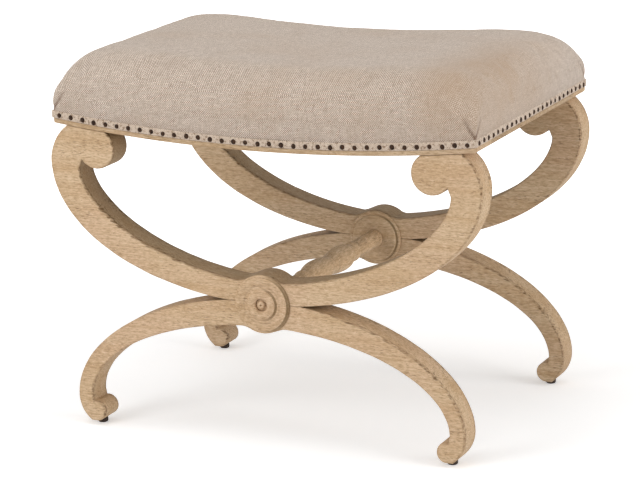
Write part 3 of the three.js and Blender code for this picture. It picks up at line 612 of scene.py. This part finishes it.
def plank(name, outline, front, back, radius_at, material, replaced):
    steps = inward_steps(outline)
    radii = [radius_at(x, z) * (1 + 0.5 * noise.noise(Vector((x, front, z)) * 0.05))
             for x, z in outline]
    sway = [0.14 * noise.noise(Vector((x, z, back)) * 0.03) for x, z in outline]
    points, edge, rim, soaked = [], [], [], []
    for extra, angle, share, wear_and_groove_shade, near_rim in plank_levels():
        for (x, z), step, radius, swing in zip(outline, steps, radii, sway):
            inset = max(radius + 1, extra) if angle is None else radius * (1 - cos(angle))
            depth = 0 if angle is None else radius * (1 - sin(angle))
            if share in (0.0, 1.0):
                y = front + depth if share == 0.0 else back - depth
            else:
                y = front + radius + (back - front - 2 * radius) * share
            move = step * (inset + swing)
            points.append((x + move.x, y, z + move.y))
            out = -step.normalized()
            # A little wear everywhere, and painted shade on edges and rims that face right or upward.
            wear_and_side_shade = min(0.2 + 0.8 * max(out.x * 0.85 + out.y * 0.5, 0), 1.0)
            edge.append(wear_and_groove_shade * wear_and_side_shade)
            rim.append(near_rim * wear_and_side_shade)
            # Painted shade on the side faces: under the seat, inside the arcs and along the seam.
            on_side = 0.0 if angle is None else cos(angle) if share in (0.0, 1.0) else 1.0
            soaked.append(on_side * painted_hollow_shade(x, z, out))
    count = len(outline)
    faces = [face[::-1] for face in joined_rows(len(points) // count, count)]
    faces += [tuple(range(count)), tuple(reversed(range(len(points) - count, len(points))))]
    return make_piece(name, points, faces, material, "oak", replaced, edge=edge, rim=rim,
                      soaked=soaked)


print("plank ready")

# %% The four arcs


def near_seam(x, z):
    """Small where the two arcs are glued, and one where they have parted."""
    return max(min((abs(x) - 75) / 60, 1.0), 0.12) if abs(z - SEAM) < 22 else 1.0


def upper_radius(x, z):
    under_seat = z > seat_underside(x) - 1 and abs(x) > 220
    return EDGE * min(near_seam(x, z), 0.25 if under_seat else 1.0)


def lower_radius(x, z):
    return EDGE * (near_seam(x, z) if z > 190 else 1.0)


for side, sign, material in (("front", -1, oak_level), ("back", 1, oak_back_shaded)):
    near, far = sign * FRAME_Y - HALF_PLANK, sign * FRAME_Y + HALF_PLANK
    upper = plank(f"{side}_upper_arc_wood", upper_outline(), near, far, upper_radius, material,
                  [f"{side}_upper_arc"])
    lower = plank(f"{side}_lower_arc_wood", lower_outline(), near, far, lower_radius, material,
                  [f"{side}_lower_arc"])
    print(upper.name, lower.name, len(upper.data.vertices) + len(lower.data.vertices), "points")

# %% [markdown]
# ## Turned pieces
# The discs over the crossings, their buttons and bosses, the bar between the frames and the
# glides were all made on a lathe. A lathe shape is a profile that goes round an axis, and the
# profile is a row of corners. A sharp corner of the list is softened with a short curve, whose
# size can be given for each corner.

# %% Lathe


def softened(corners, usual):
    """Corners as (radius, place) or (radius, place, cut): each is replaced by a short curve."""
    points = [corners[0][:2]]
    for i in range(1, len(corners) - 1):
        here = Vector(corners[i][:2])
        before, after = Vector(corners[i - 1][:2]), Vector(corners[i + 1][:2])
        wish = corners[i][2] if len(corners[i]) > 2 else usual
        cut = min(wish, (here - before).length * 0.48, (after - here).length * 0.48)
        start = here + (before - here).normalized() * cut
        end = here + (after - here).normalized() * cut
        for step in range(6):
            t = step / 5
            spot = start * (1 - t) ** 2 + here * 2 * t * (1 - t) + end * t ** 2
            points.append(tuple(spot))
    points.append(corners[-1][:2])
    return points


def turned(name, corners, centre, axis, material, slot, replaced, usual=0.5, count=96, right_side_shade_rings=()):
    """The profile goes round an axis through the centre; rings of radii can get painted shade on their
    right side.
    """
    profile = softened(corners, usual)
    axis = Vector(axis)
    side = axis.orthogonal().normalized()
    other = axis.cross(side)
    facing = sum(a[0] * b[1] - b[0] * a[1] for a, b in zip(profile, profile[1:] + profile[:1]))
    points, edge, soaked = [], [], []
    for i, (radius, place) in enumerate(profile):
        before, after = profile[max(i - 1, 0)], profile[min(i + 1, len(profile) - 1)]
        bend = Vector(before) + Vector(after) - 2 * Vector((radius, place))
        turn_in = (radius - before[0]) * (after[1] - place) - (place - before[1]) * (after[0] - radius)
        # Grooves, the inner corners, get painted shade up to 0.4; outer corners get a little wear, up
        # to 0.1.
        wear_and_groove_shade = min(bend.length * 1.5, 0.4) if turn_in * facing < 0 else min(bend.length, 0.1)
        for turn in range(count):
            a = 2 * pi * turn / count
            wobble = 0.05 * noise.noise(Vector((place, 6 * cos(a), 6 * sin(a))) * 0.3)
            reach = max(radius + wobble, 0.01) if radius > 0.02 else radius
            spot = Vector(centre) + axis * place
            spot += (side * cos(a) + other * sin(a)) * reach
            points.append(tuple(spot))
            edge.append(wear_and_groove_shade)
            # Painted shade on the right side of the listed rings, away from the light.
            ring = any(low <= radius <= high for low, high in right_side_shade_rings)
            soaked.append(0.75 * max((spot.x - centre[0]) / reach, 0) ** 0.7 if ring else 0.0)
    faces = joined_rows(len(profile), count)
    obj = make_piece(name, points, faces, material, slot, replaced, edge=edge, soaked=soaked)
    return face_outward(obj, weld=True)


print("lathe ready")

# %% Rosettes, buttons and bosses
ROSETTE = [(8.8, 0.0), (8.8, 4.6, 0.6), (10.6, 6.6, 1.8), (15.0, 7.8, 3.0), (19.4, 7.2, 2.0),
           (21.8, 4.0, 1.4), (24.6, 3.3, 1.6), (30.0, 3.6, 3.0), (34.4, 5.3, 2.2), (37.4, 4.6, 2.0),
           (39.4, 2.2, 1.2), (41.4, 1.7, 0.8), (41.5, 0.0)]
BUTTON = [(0.0, 4.0), (1.0, 4.0, 0.2), (1.5, 6.2, 0.6), (3.6, 6.7, 1.2), (5.6, 5.0, 1.4),
          (5.7, 2.4, 0.4), (8.5, 2.2, 0.4), (8.5, 0.0), (0.0, 0.0)]
BOSS = [(11.3, 0.0), (11.3, 6.0, 0.3), (33.6, 6.0, 1.8), (35.2, 4.6, 1.0), (35.8, 3.4, 0.5),
        (36.8, 3.2, 0.5), (37.4, 3.6, 0.6), (40.2, 3.2, 1.0), (41.0, 1.6, 0.8), (41.0, 0.0)]
for side, sign, material in (("front", -1, oak_level), ("back", 1, oak_back_shaded)):
    outer = (0, sign * (FRAME_Y + HALF_PLANK + GAP), HUB)
    inner = (0, sign * (FRAME_Y - HALF_PLANK - GAP), HUB)
    turned(f"{side}_rosette_wood", ROSETTE + [(8.8, 0.0)], outer, (0, sign, 0), material, "oak",
           [f"{side}_rosette"], right_side_shade_rings=((20.6, 23.4), (37.6, 41.5)))
    turned(f"{side}_rosette_button", BUTTON, outer, (0, sign, 0), material, "oak",
           [f"{side}_rosette_plug"])
    turned(f"{side}_inner_boss_wood", BOSS + [(11.3, 0.0)], inner, (0, -sign, 0), material, "oak",
           [f"{side}_inner_boss"], right_side_shade_rings=((34.8, 37.6),))
print("discs turned")

# %% [markdown]
# ## The bar between the frames
# The bar is turned as two long vases that meet foot to foot, each with a small ring and a thin
# neck towards its boss. Its fibres run along it, so it has the oak that is turned to follow Y.

# %% Stretcher
HALF_SPAN = 170.6
VASE = [(13.6, 0.0), (13.7, 4.8, 1.2), (12.9, 6.2, 1.0), (12.7, 40.0, 12.0), (13.0, 80.0, 3.0),
        (14.7, 83.4, 1.4), (14.7, 88.4, 1.4), (12.9, 92.0, 2.0), (14.2, 101.0, 6.0),
        (17.9, 114.0, 7.0), (18.9, 127.0, 8.0), (17.4, 150.0, 10.0), (14.8, 164.0, 4.0),
        (14.4, 167.6, 1.5)]
bar = [(11.0, -30.3), (11.0, -0.2, 0.1)] + VASE
profile = [(radius, place - HALF_SPAN, *cut) for radius, place, *cut in bar]
profile += [(radius, -place, *cut) for radius, place, *cut in reversed(profile)]
turned("stretcher_wood", [(0.0, profile[0][1])] + profile + [(0.0, -profile[0][1])], (0, 0, HUB),
       (0, 1, 0), oak_lengthwise, "oak", ["stretcher"], usual=1.0)
print("stretcher length over its tenons:", round(-2 * profile[0][1], 1), "mm")

# %% Glides
GLIDE = [(0.0, 0.0), (6.2, 0.0, 1.0), (7.4, 1.6, 1.0), (7.5, 5.4, 0.4), (7.3, 6.5, 0.3),
         (0.0, 6.5)]
GLIDE_X = 270.5
for side, y in (("front", -FRAME_Y), ("back", FRAME_Y)):
    for hand, x in (("left", -GLIDE_X), ("right", GLIDE_X)):
        turned(f"{side}_{hand}_glide_felt", GLIDE, (x, y, 0), (0, 0, 1), felt, "glide",
               [f"{side}_{hand}_glide"], count=48)
print("glides: 4")

# %% [markdown]
# ## The rails under the seat
# A strip of bare wood shows under the cloth all round the seat, with a rounded lower edge. Its
# four rails are bars whose section is the same all along, so a section is moved along each one.
# The long rails follow the curve of the seat, and their sections draw in over the last few
# millimetres to round the corner. Above the strip the rail is narrower, to make room for cloth,
# and its hidden corner is rounder, so that the corner of the cushion can be soft.

# %% A section moved along
STRIP = 7.0
REBATE = 3.2
RAIL_WIDTH = 56.0
RAIL_HEIGHT = 32.0
LOWER_EDGE = 2.0
CORNER = 5.0
HIDDEN_CORNER = 8.0


def rail_section(drawn_in=0.0, lifted=0.0, tall=RAIL_HEIGHT, rounding=0.0):
    """A rail's section as (depth from the seat's face, height), from its underside to its top."""
    round_edge = [(drawn_in + LOWER_EDGE * (1 - sin(a)), lifted + LOWER_EDGE * (1 - cos(a)))
                  for a in QUARTER]
    above = max(REBATE + rounding, drawn_in + 0.2)
    outer = [(drawn_in + LOWER_EDGE + 1.5, lifted), *round_edge, (drawn_in, STRIP - 0.4),
             (drawn_in + 0.4, STRIP), (above, STRIP), (above, tall)]
    return [(RAIL_WIDTH - 1.5, lifted), (RAIL_WIDTH - 30, lifted), *outer,
            (RAIL_WIDTH - 30, tall), (RAIL_WIDTH, tall), (RAIL_WIDTH, 1.5)]


def sweep(name, stations, material, replaced):
    """Stations are lists of points, joined one to the next and closed at both ends."""
    count = len(stations[0])
    points = [point for station in stations for point in station]
    faces = joined_rows(len(stations), count)
    faces += [tuple(reversed(range(count))), tuple(range(len(points) - count, len(points)))]
    obj = face_outward(make_piece(name, points, faces, material, "oak", replaced))
    obj.data.set_sharp_from_angle(angle=radians(50))
    return obj


print("points round a rail's section:", len(rail_section()))

# %% Rails
# Darker copies of the oak for the rails, darkest on the ends: painted shade.
oak_rail = oak("limed_oak_rail", shift=(0.5, 0.1, 0.2), light=0.82)
oak_rail_end_shaded = oak("limed_oak_rail_end", along="Y", shift=(0.1, 0.6, 0.3), light=0.68)


def drawn_back(x, reach, radius):
    """How far a round corner that ends at the reach has drawn in at x."""
    into = min(max(abs(x) - reach + radius, 0), radius)
    return radius - sqrt(radius ** 2 - into ** 2)


def long_rail(side):
    """Sections along the seat, close together where the corners are rounded."""
    covered = HALF_LENGTH - REBATE
    shares = [1 - sin(pi / 2 * i / 5) for i in range(6)]
    ends = [HALF_LENGTH - CORNER * share for share in shares]
    ends += [covered - HIDDEN_CORNER * share for share in shares] + [covered + 0.02]
    middle = [HALF_LENGTH - CORNER - 15.62 * i for i in range(1, 40)]
    stations = []
    for x in sorted(set(ends + middle + [-x for x in ends])):
        tall = RAIL_HEIGHT if abs(x) <= covered else STRIP + 0.01
        section = rail_section(drawn_back(x, HALF_LENGTH, CORNER),
                               drawn_back(x, HALF_LENGTH, LOWER_EDGE), tall,
                               drawn_back(x, covered, HIDDEN_CORNER))
        stations.append([(x, side * (HALF_DEPTH - depth), seat_underside(x) + height)
                         for depth, height in section])
    return stations


def end_rail(side):
    half_run = HALF_DEPTH - RAIL_WIDTH - GAP
    places = [(side * (HALF_LENGTH - depth), height) for depth, height in rail_section()]
    return [[(x, y, seat_underside(x) + height) for x, height in places]
            for y in (-half_run, -120, -60, 0, 60, 120, half_run)]


rails = [sweep(f"{name}_rail_wood", stations, material, [f"{name}_rail"])
         for name, stations, material in (("front", long_rail(-1), oak_rail),
                                          ("back", long_rail(1), oak_rail),
                                          ("left", end_rail(-1), oak_rail_end_shaded),
                                          ("right", end_rail(1), oak_rail_end_shaded))]
print("rails:", [rail.name for rail in rails])

# %% [markdown]
# ## The cushion
# Foam and wadding fill a linen cover that is pulled down over the rails. A formula gives its
# stretched form: upright sides that swell a little, and a top that rises from all four sides.
# Drawn like that it would look like plastic, so it goes through a cloth simulation: the form is
# made a little too small, remeshed into even squares, held along its rim and blown up with a
# gentle pressure. What the cloth does is then limited, so that it keeps the stool's size.

# %% Form of the cushion
EDGE_X = 320.0
EDGE_Y = 221.5
RIM = 7.3
SIDE_START = 26.0
RINGS = 30
DRAWN_IN = 3.4


def share_of(value, low, high):
    """How far a value has come from one bound to the other, from 0 to 1."""
    return min(max((value - low) / (high - low), 0), 1)


def rounded(distance, reach, power):
    share = 1 - share_of(distance, 0, reach)
    return (1 - share ** power) ** (1 / power)


def top_height(x, y):
    top = 105.4 + 9.8 * (x / EDGE_X) ** 2 + 1.9 * (1 - (y / EDGE_Y) ** 2)
    rise = rounded(EDGE_X - abs(x), 290, 3.85) * rounded(EDGE_Y - abs(y), 82.5, 2.15)
    return SIDE_START + (top - SIDE_START) * rise


def plan_outline(half_x, half_y, radius):
    """A rectangle with round corners, as the same number of points for any size."""
    turns = [circle_points(sx * (half_x - radius), sy * (half_y - radius), radius,
                           pi / 2 * (i - 1), pi / 2 * i, 5)
             for i, (sx, sy) in enumerate(((1, -1), (1, 1), (-1, 1), (-1, -1)))]
    points = []
    for turn, after, steps in zip(turns, turns[1:] + turns[:1], (72, 104, 72, 104)):
        (x, y), (end_x, end_y) = turn[-1], after[0]
        points += turn + [(x + (end_x - x) * k / steps, y + (end_y - y) * k / steps)
                          for k in range(1, steps)]
    return points


def cushion_form(small):
    """Points and faces of the closed form, drawn in by a few millimetres."""
    rows = []
    for height, swell, radius in ((RIM, -1.5, 6.5), (12.0, -1.5, 6.5), (17.8, -1.4, 6.5),
                                  (21.5, 0.6, 6.5), (26.0, 2.5, 7.0)):
        extra = swell - (small if height > 18 else 0.0)
        outline = plan_outline(HALF_LENGTH + extra, HALF_DEPTH + extra, radius)
        rows.append([(x, y, seat_underside(x) + height) for x, y in outline])
    for ring in range(1, RINGS):
        reach = 1 - (ring / RINGS) ** 2.3
        least = SIDE_START + ring * 0.5
        edge = plan_outline(EDGE_X - small, EDGE_Y - small, min(7 + ring * 0.9, 20))
        outline = [(x * reach, y * reach) for x, y in edge]
        rows.append([(x, y, seat_underside(x) + max(top_height(x, y) - small, least))
                     for x, y in outline])
    count = len(rows[0])
    points = [point for row in rows for point in row]
    faces = joined_rows(len(rows), count)
    last, top = len(points) - count, len(points)
    points.append((0, 0, seat_underside(0) + top_height(0, 0) - small))
    points.append((0, 0, seat_underside(0) + RIM))
    faces += [(last + i, last + (i + 1) % count, top) for i in range(count)]
    return points, faces + [((i + 1) % count, i, top + 1) for i in range(count)]


points, faces = cushion_form(DRAWN_IN)
cushion = make_piece("linen_cushion", points, faces, linen, "linen",
                     ["seat_cover", "batting", "foam_pad"])
print("form of the cushion:", len(points), "points")

# %% [markdown]
# The simulation itself is short. The remesh modifier makes squares of 5 mm, which bend evenly in
# all directions. A group of points, the rim and everything under it, is pinned. Gravity is off,
# because the filling carries the cloth, and pressure pushes it out. Afterwards each point may
# be at most a few millimetres from where it started, and the hidden underside is laid flat on top
# of the rails.

# %% Blow the cushion up
VOXEL = 0.005
STEPS = 20
FILLING = {"uniform_pressure_force": 4, "quality": 5, "mass": 0.4, "tension_stiffness": 25,
           "compression_stiffness": 25, "bending_stiffness": 0.3, "shrink_min": -0.012}


def over_underside(co):
    return co.z / MM - seat_underside(max(min(co.x / MM, 340), -340))


remesh = cushion.modifiers.new("even_squares", "REMESH")
remesh.mode = "VOXEL"
remesh.voxel_size = VOXEL
bpy.context.view_layer.objects.active = cushion
bpy.ops.object.modifier_apply(modifier=remesh.name)
start = [vertex.co.copy() for vertex in cushion.data.vertices]
pinned = cushion.vertex_groups.new(name="held")
for vertex in cushion.data.vertices:
    share = share_of(over_underside(vertex.co), 24, 18)
    if share:
        pinned.add([vertex.index], share, "REPLACE")
cloth = cushion.modifiers.new("filling", "CLOTH")
cloth.settings.vertex_group_mass = "held"
cloth.settings.use_pressure = True
cloth.settings.effector_weights.gravity = 0
for setting, value in FILLING.items():
    setattr(cloth.settings, setting, value)
cloth.point_cache.frame_start = 1
cloth.point_cache.frame_end = STEPS
for step in range(1, STEPS + 1):
    scene.frame_set(step)
bpy.ops.object.modifier_apply(modifier=cloth.name)
cushion.vertex_groups.clear()
scene.frame_set(1)
print("points in the cloth:", len(start))

# %% Limit the cloth and let it rest on the rails
CAP = 5.0 * MM
moved = 0.0
for vertex, old in zip(cushion.data.vertices, start):
    step = vertex.co - old
    if step.length > 1e-7:
        limited = CAP * tanh(step.length / CAP)
        vertex.co = old + step * (limited / step.length)
        moved = max(moved, limited)
subdivide = cushion.modifiers.new("finer", "SUBSURF")
subdivide.levels = 1
subdivide.render_levels = 1
bpy.ops.object.modifier_apply(modifier=subdivide.name)
for vertex in cushion.data.vertices:
    x, y = vertex.co.x / MM, vertex.co.y / MM
    inside = min(HALF_LENGTH - abs(x), HALF_DEPTH - abs(y))
    if over_underside(vertex.co) < 14 and inside > 7:
        vertex.co.z = (seat_underside(x) + 34.2) * MM
cushion.data.shade_smooth()
print("cloth moved by up to", round(moved / MM, 1), "mm;", len(cushion.data.vertices), "points")

# %% [markdown]
# ## Pleats and tension
# At each corner the spare linen is folded into two short pleats that stand in a V over the corner
# of the trim, one on the front and one on the end. The nails also pull small hollows into the
# cloth just above the trim. Both are moves of single points: each point is pushed in by an amount
# that fades with its distance from the line of the pleat or from the nail. The corners swell a
# little under the fold, and no cloth may sink behind the face of the wood. By the last mark, the
# weave paints shade into the folds and along a band just above the trim.

# %% Where the linen is pulled
NAIL_PITCH_LONG = 18.0
NAIL_PITCH_SHORT = 17.3
END_LEVEL = seat_underside(310)
PLEATS = {"front": (Vector((300, END_LEVEL + 44)), Vector((314, END_LEVEL + 19))),
          "end": (Vector((199, END_LEVEL + 44)), Vector((216, END_LEVEL + 19)))}


def bump(value, middle, width):
    """One in the middle, and fading to nothing on both sides."""
    return exp(-((value - middle) / width) ** 2)


def away_from_line(point, first, second):
    span = second - first
    share = share_of((point - first).dot(span), 0, span.length_squared)
    return (point - first - span * share).length, share


def pleat_at(spot, height):
    """How far a pleat pushes the linen in at a spot, and how much painted shade its fold gets there.
    """
    if height <= 15 or abs(spot.x) <= 270 or abs(spot.y) <= 170:
        return 0.0, 0.0
    on_end = abs(spot.x) - HALF_LENGTH > abs(spot.y) - HALF_DEPTH
    across = abs(spot.y if on_end else spot.x)
    distance, share = away_from_line(Vector((across, spot.z)), *PLEATS["end" if on_end else "front"])
    if distance >= 18:
        return 0.0, 0.0
    strong = 0.35 + 0.65 * share
    depth = strong * min(max((height - 16) / 12, 0.2), 1)
    fold = 2.4 * bump(distance, 0, 2.1) - 0.5 * bump(distance, 6, 4)
    return depth * fold, strong * bump(distance, 0, 1.8)


def nail_pull(spot, height):
    """How far the nail next to a spot pulls the linen in."""
    if not 15 < height < 40:
        return 0.0
    along, pitch = (spot.x, NAIL_PITCH_LONG) if abs(spot.y) > 210 else (spot.y, NAIL_PITCH_SHORT)
    return 0.35 * (0.5 + 0.5 * cos(2 * pi * along / pitch)) * bump(height, 18, 7)


def corner_swell(spot, height):
    """The move that brings a corner out, both lengthwise and across."""
    near = share_of(abs(spot.x), 284, 318) * share_of(abs(spot.y), 186, 220)
    full = share_of(height, 15, 19) * share_of(height, 80, 40)
    swell = (3.4 + 2.2 * bump(height, 20, 6)) * near ** 2 * full
    return Vector((copysign(swell, spot.x), copysign(swell, spot.y), 0))


def out_of_wood(now, spot, height):
    """The move that brings cloth back out if it has sunk behind the face of a rail."""
    least = 1.5 if height < 17 else 0.2
    hidden_x = HALF_LENGTH - least - abs(now.x)
    hidden_y = HALF_DEPTH - least - abs(now.y)
    at_corner = height > 19 and abs(spot.x) > 300 and abs(spot.y) > 200
    if at_corner or not (5 < height < 42 and 0 < min(hidden_x, hidden_y) < 6):
        return Vector((0, 0, 0))
    if hidden_x < hidden_y:
        return Vector((copysign(hidden_x, now.x), 0, 0))
    return Vector((0, copysign(hidden_y, now.y), 0))


print("pleats:", 4 * len(PLEATS))

# %% Pull the linen
fold_and_trim_shade = []
normals = [vertex.normal.copy() for vertex in cushion.data.vertices]
for vertex, normal in zip(cushion.data.vertices, normals):
    spot = vertex.co / MM
    height = over_underside(vertex.co)
    push, dark = pleat_at(spot, height)
    push += nail_pull(spot, height)
    if height > 17:
        uneven = noise.noise(spot * 0.011) * 0.9 + noise.noise(spot * 0.035) * 0.3
        vertex.co += normal * MM * (uneven * share_of(height, 17, 37) - push)
        vertex.co += corner_swell(spot, height) * MM
    vertex.co += out_of_wood(vertex.co / MM, spot, height) * MM
    # Painted shade: dark along each pleat's fold, and a soft band just above the trim.
    fold_and_trim_shade.append(max(dark, 0.11 * bump(height, 18, 7)))
cushion.data.attributes.new("fold_and_trim_shade", "FLOAT", "POINT").data.foreach_set("value", fold_and_trim_shade)
print("darkest fold:", round(max(fold_and_trim_shade), 2))

# %% [markdown]
# ## The trim band
# A narrow band of a paler, flecked linen covers the cut edge of the cover. It is one strip for
# each side, nailed through its lower half. Between two nails the band puffs out, and under each
# nail it is pressed in, so the strip is a grid of points whose depth follows the nails.

# %% Trim bands
BAND_FOOT = 7.3
BAND_WIDTH = 10.5
BAND_THICK = 1.1
BAND_ROWS = 9
NAIL_LIFT = 11.5
LONG = (True, HALF_LENGTH + 0.5, NAIL_PITCH_LONG, 35)
SHORT = (False, HALF_DEPTH - 0.7, NAIL_PITCH_SHORT, 25)
SIDES = {"front": (-1, *LONG), "back": (1, *LONG), "left": (-1, *SHORT), "right": (1, *SHORT)}


def side_point(sign, along_x, run, across, out, height):
    """A point beside a place along the seat, out from its face and over its underside."""
    if along_x:
        return (run + across, sign * (HALF_DEPTH + out), seat_underside(run) + height)
    return (sign * (HALF_LENGTH + out), run + across, seat_underside(HALF_LENGTH) + height)


def band(side):
    """The outer skin of a strip comes first, and then the same points further in."""
    sign, along_x, half_run, pitch, _ = SIDES[side]
    steps = round(2 * half_run / 1.5)
    points = []
    for inside in (0.0, BAND_THICK):
        for j in range(BAND_ROWS + 1):
            share = j / BAND_ROWS
            at_rim = j in (0, BAND_ROWS)
            height = BAND_FOOT + BAND_WIDTH * share
            for i in range(steps + 1):
                run = -half_run + 2 * half_run * i / steps
                ragged = noise.noise(Vector((run * 0.3, share * 2, sign * 9)))
                pull = 0.5 + 0.5 * cos(2 * pi * run / pitch)
                puff = 0.55 * (1 - pull ** 2) * sin(pi * share)
                depth = inside * (0.6 if at_rim else 1) - puff
                depth += 0.35 * pull * bump(height, NAIL_LIFT, 3.2) + 0.5 * share ** 4
                depth -= 0.18 * ragged
                fray = 0.35 * ragged if at_rim else 0.0
                points.append(side_point(sign, along_x, run, 0.0, 0.35 - depth, height + fray))
    faces = [face[::-1] for face in thin_sheet(steps + 1, BAND_ROWS + 1)]
    return face_outward(make_piece(f"{side}_band", points, faces, trim_linen, "linen",
                                   [f"{side}_trim_band"]))


bands = [band(side) for side in SIDES]
print("bands:", [len(obj.data.vertices) for obj in bands])

# %% [markdown]
# ## Nail heads
# The nails are driven by hand, so no two sit quite alike. One head is a low dome with a thin
# rim. It is copied along each side with a small random lean, size, place and depth that come
# from numbers with a fixed seed, so that every run gives the same row.

# %% Nails
DOME = [(0.0, 2.1), (1.2, 2.0), (2.3, 1.5), (3.1, 0.8), (3.45, 0.25), (3.5, 0.0), (3.3, -0.5),
        (0.0, -0.5)]
DOME_COUNT = 16


def nail_row(side):
    sign, along_x, _, pitch, count = SIDES[side]
    dice = random.Random(f"{side}_nails 7")
    points, faces = [], []
    for number in range(count):
        run = pitch * (number - (count - 1) / 2) + dice.uniform(-0.5, 0.5)
        lift = NAIL_LIFT + dice.uniform(-0.7, 0.7)
        sink = dice.uniform(-0.15, 0.25)
        lean = (dice.uniform(-0.12, 0.12), dice.uniform(-0.12, 0.12))
        size = dice.uniform(0.94, 1.1)
        base = len(points)
        for radius, out in DOME:
            for turn in range(DOME_COUNT):
                a = 2 * pi * turn / DOME_COUNT
                across, up = size * radius * cos(a), size * radius * sin(a)
                proud = out - sink + across * lean[0] + up * lean[1]
                points.append(side_point(sign, along_x, run, across, proud, lift + up))
        faces += [tuple(base + index for index in face)
                  for face in joined_rows(len(DOME), DOME_COUNT)]
    return face_outward(make_piece(f"{side}_nails", points, faces, bronze, "nail"), weld=True)


nails = [nail_row(side) for side in SIDES]
print("nail rows:", [row.name for row in nails])

# %% [markdown]
# ## Cloth under the seat
# A black dust cloth closes the seat from below, jute webbing carries the filling, and a jute cloth
# lies over the webbing. Each is a thin sheet that follows the curve of the rails. The dust cloth
# sags a little between the rails, because it is only stapled along its edges.

# %% Dust cloth, webbing and jute cloth


def spread(name, half_x, half_y, middle_x, level, thick, sag, material, slot, replaced):
    """A sheet over the curve of the seat, with its two skins and a soft sag in its middle."""
    wide, deep = max(round(half_x / 8), 4) * 2, max(round(half_y / 8), 4) * 2
    points = []
    for skin in (0.0, thick):
        for j in range(deep + 1):
            for i in range(wide + 1):
                u, v = 2 * i / wide - 1, 2 * j / deep - 1
                x, y = middle_x + half_x * u, half_y * v
                drop = sag * (1 - abs(u) ** 3) * (1 - abs(v) ** 3)
                ripple = 0.25 * noise.noise(Vector((x, y, level)) * 0.02) * (1 - v * v) * (1 - u * u)
                points.append((x, y, seat_underside(x) + level + skin - drop + ripple))
    faces = thin_sheet(wide + 1, deep + 1)
    obj = make_piece(name, points, faces, material, slot, replaced)
    return obj


spread("dust_sheet", 272.5, 174, 0, -1.3, 1.0, 2.0, dust_cloth, "dust_cloth", ["dust_cover"])
pitch = (2 * HALF_LENGTH - 2 * RAIL_WIDTH) / 6
for number in range(6):
    spread(f"webbing_{number + 1}", 25, 203, pitch * (number - 2.5), 32.3, 1.5, 0.0, jute_strap,
           "webbing", [f"web_strap_{number + 1}"])
spread("jute_sheet", 305.5, 207, 0, 34.1, 1.0, 0.0, jute_cloth, "hessian", ["hessian_sheet"])
print("sheets under the seat: 8")

# %% [markdown]
# ## Solids that stay as they are
# Dowels, corner blocks and screws are right as they come from the CAD, because nobody sees them
# once the stool is glued. They still get a real finish, for the day somebody takes it apart.

# %% Finishes for the hidden solids
FINISH = {"dowel": beech, "block": beech, "screw": zinc}
dressed = 0
for name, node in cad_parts.items():
    for word, material in FINISH.items():
        if word in name and not (word == "block" and "screw" in name):
            node.data.materials.clear()
            node.data.materials.append(material)
            dressed += 1
print("solids with a finish of their own:", dressed)

# %% [markdown]
# ## Floor and light
# The stool stands on a white floor in soft studio light. The floor is a pale matt plane that takes
# the stool's shadow. For rays that come straight from the camera, or by way of a mirror or glass,
# it glows a little, and fully so further out, so that it runs into a white background without any
# extra light on the stool.

# %% Floor
floor_mesh = bpy.data.meshes.new("floor")
floor_mesh.from_pydata([(-9, -9, 0), (9, -9, 0), (9, 9, 0), (-9, 9, 0)], [], [(0, 1, 2, 3)])
floor = added("floor", floor_mesh)
recipe = Recipe("pale_floor", Roughness=0.9, Specular_IOR_Level=0.0)
place = recipe.place()
grain = recipe.noise(place, scale=3, detail=2)
glow = recipe.span(recipe.vector("LENGTH", place), 0.55, 1.7, 0.34, 1.0)
recipe.put(recipe.times(recipe.seen_plainly(), glow), recipe.shader.inputs["Emission Strength"])
recipe.shader.inputs["Emission Color"].default_value = (1, 1, 1, 1)
pale = recipe.blend(grain, (0.905, 0.925, 0.955, 1), (0.925, 0.945, 0.975, 1))
floor_mesh.materials.append(recipe.finish(pale))
print("floor is", [round(value, 1) for value in floor.dimensions], "m")

# %% World and lamps
world = bpy.data.worlds.new("studio")
scene.world = world
world.use_nodes = True
graph = Graph(world.node_tree)
sky = graph.tree.nodes["Background"]
sky.inputs["Color"].default_value = (1.0, 0.95, 0.89, 1)
sky.inputs["Strength"].default_value = 0.52
white = graph.add("Background", (1, 1, 1, 1), 1.0)
either = graph.add("MixShader", graph.seen_plainly(), sky.outputs[0], white.outputs[0])
graph.put(either.outputs[0], graph.tree.nodes["World Output"].inputs["Surface"])


def soft_lamp(name, location, size, power, target=(0, 0, 0.3)):
    lamp = bpy.data.lights.new(name, "AREA")
    lamp.shape = "RECTANGLE"
    lamp.size, lamp.size_y = size
    lamp.energy = power
    obj = added(name, lamp)
    obj.location = location
    obj.rotation_euler = (Vector(target) - obj.location).to_track_quat("-Z", "Y").to_euler()


soft_lamp("key", (-1.9, -3.3, 1.5), (1.8, 1.6), 48)
soft_lamp("fill", (3.3, -0.2, 1.35), (2.0, 1.6), 43)
soft_lamp("top", (-0.3, -0.6, 3.3), (2.4, 2.0), 24)
print("lamps: 3")
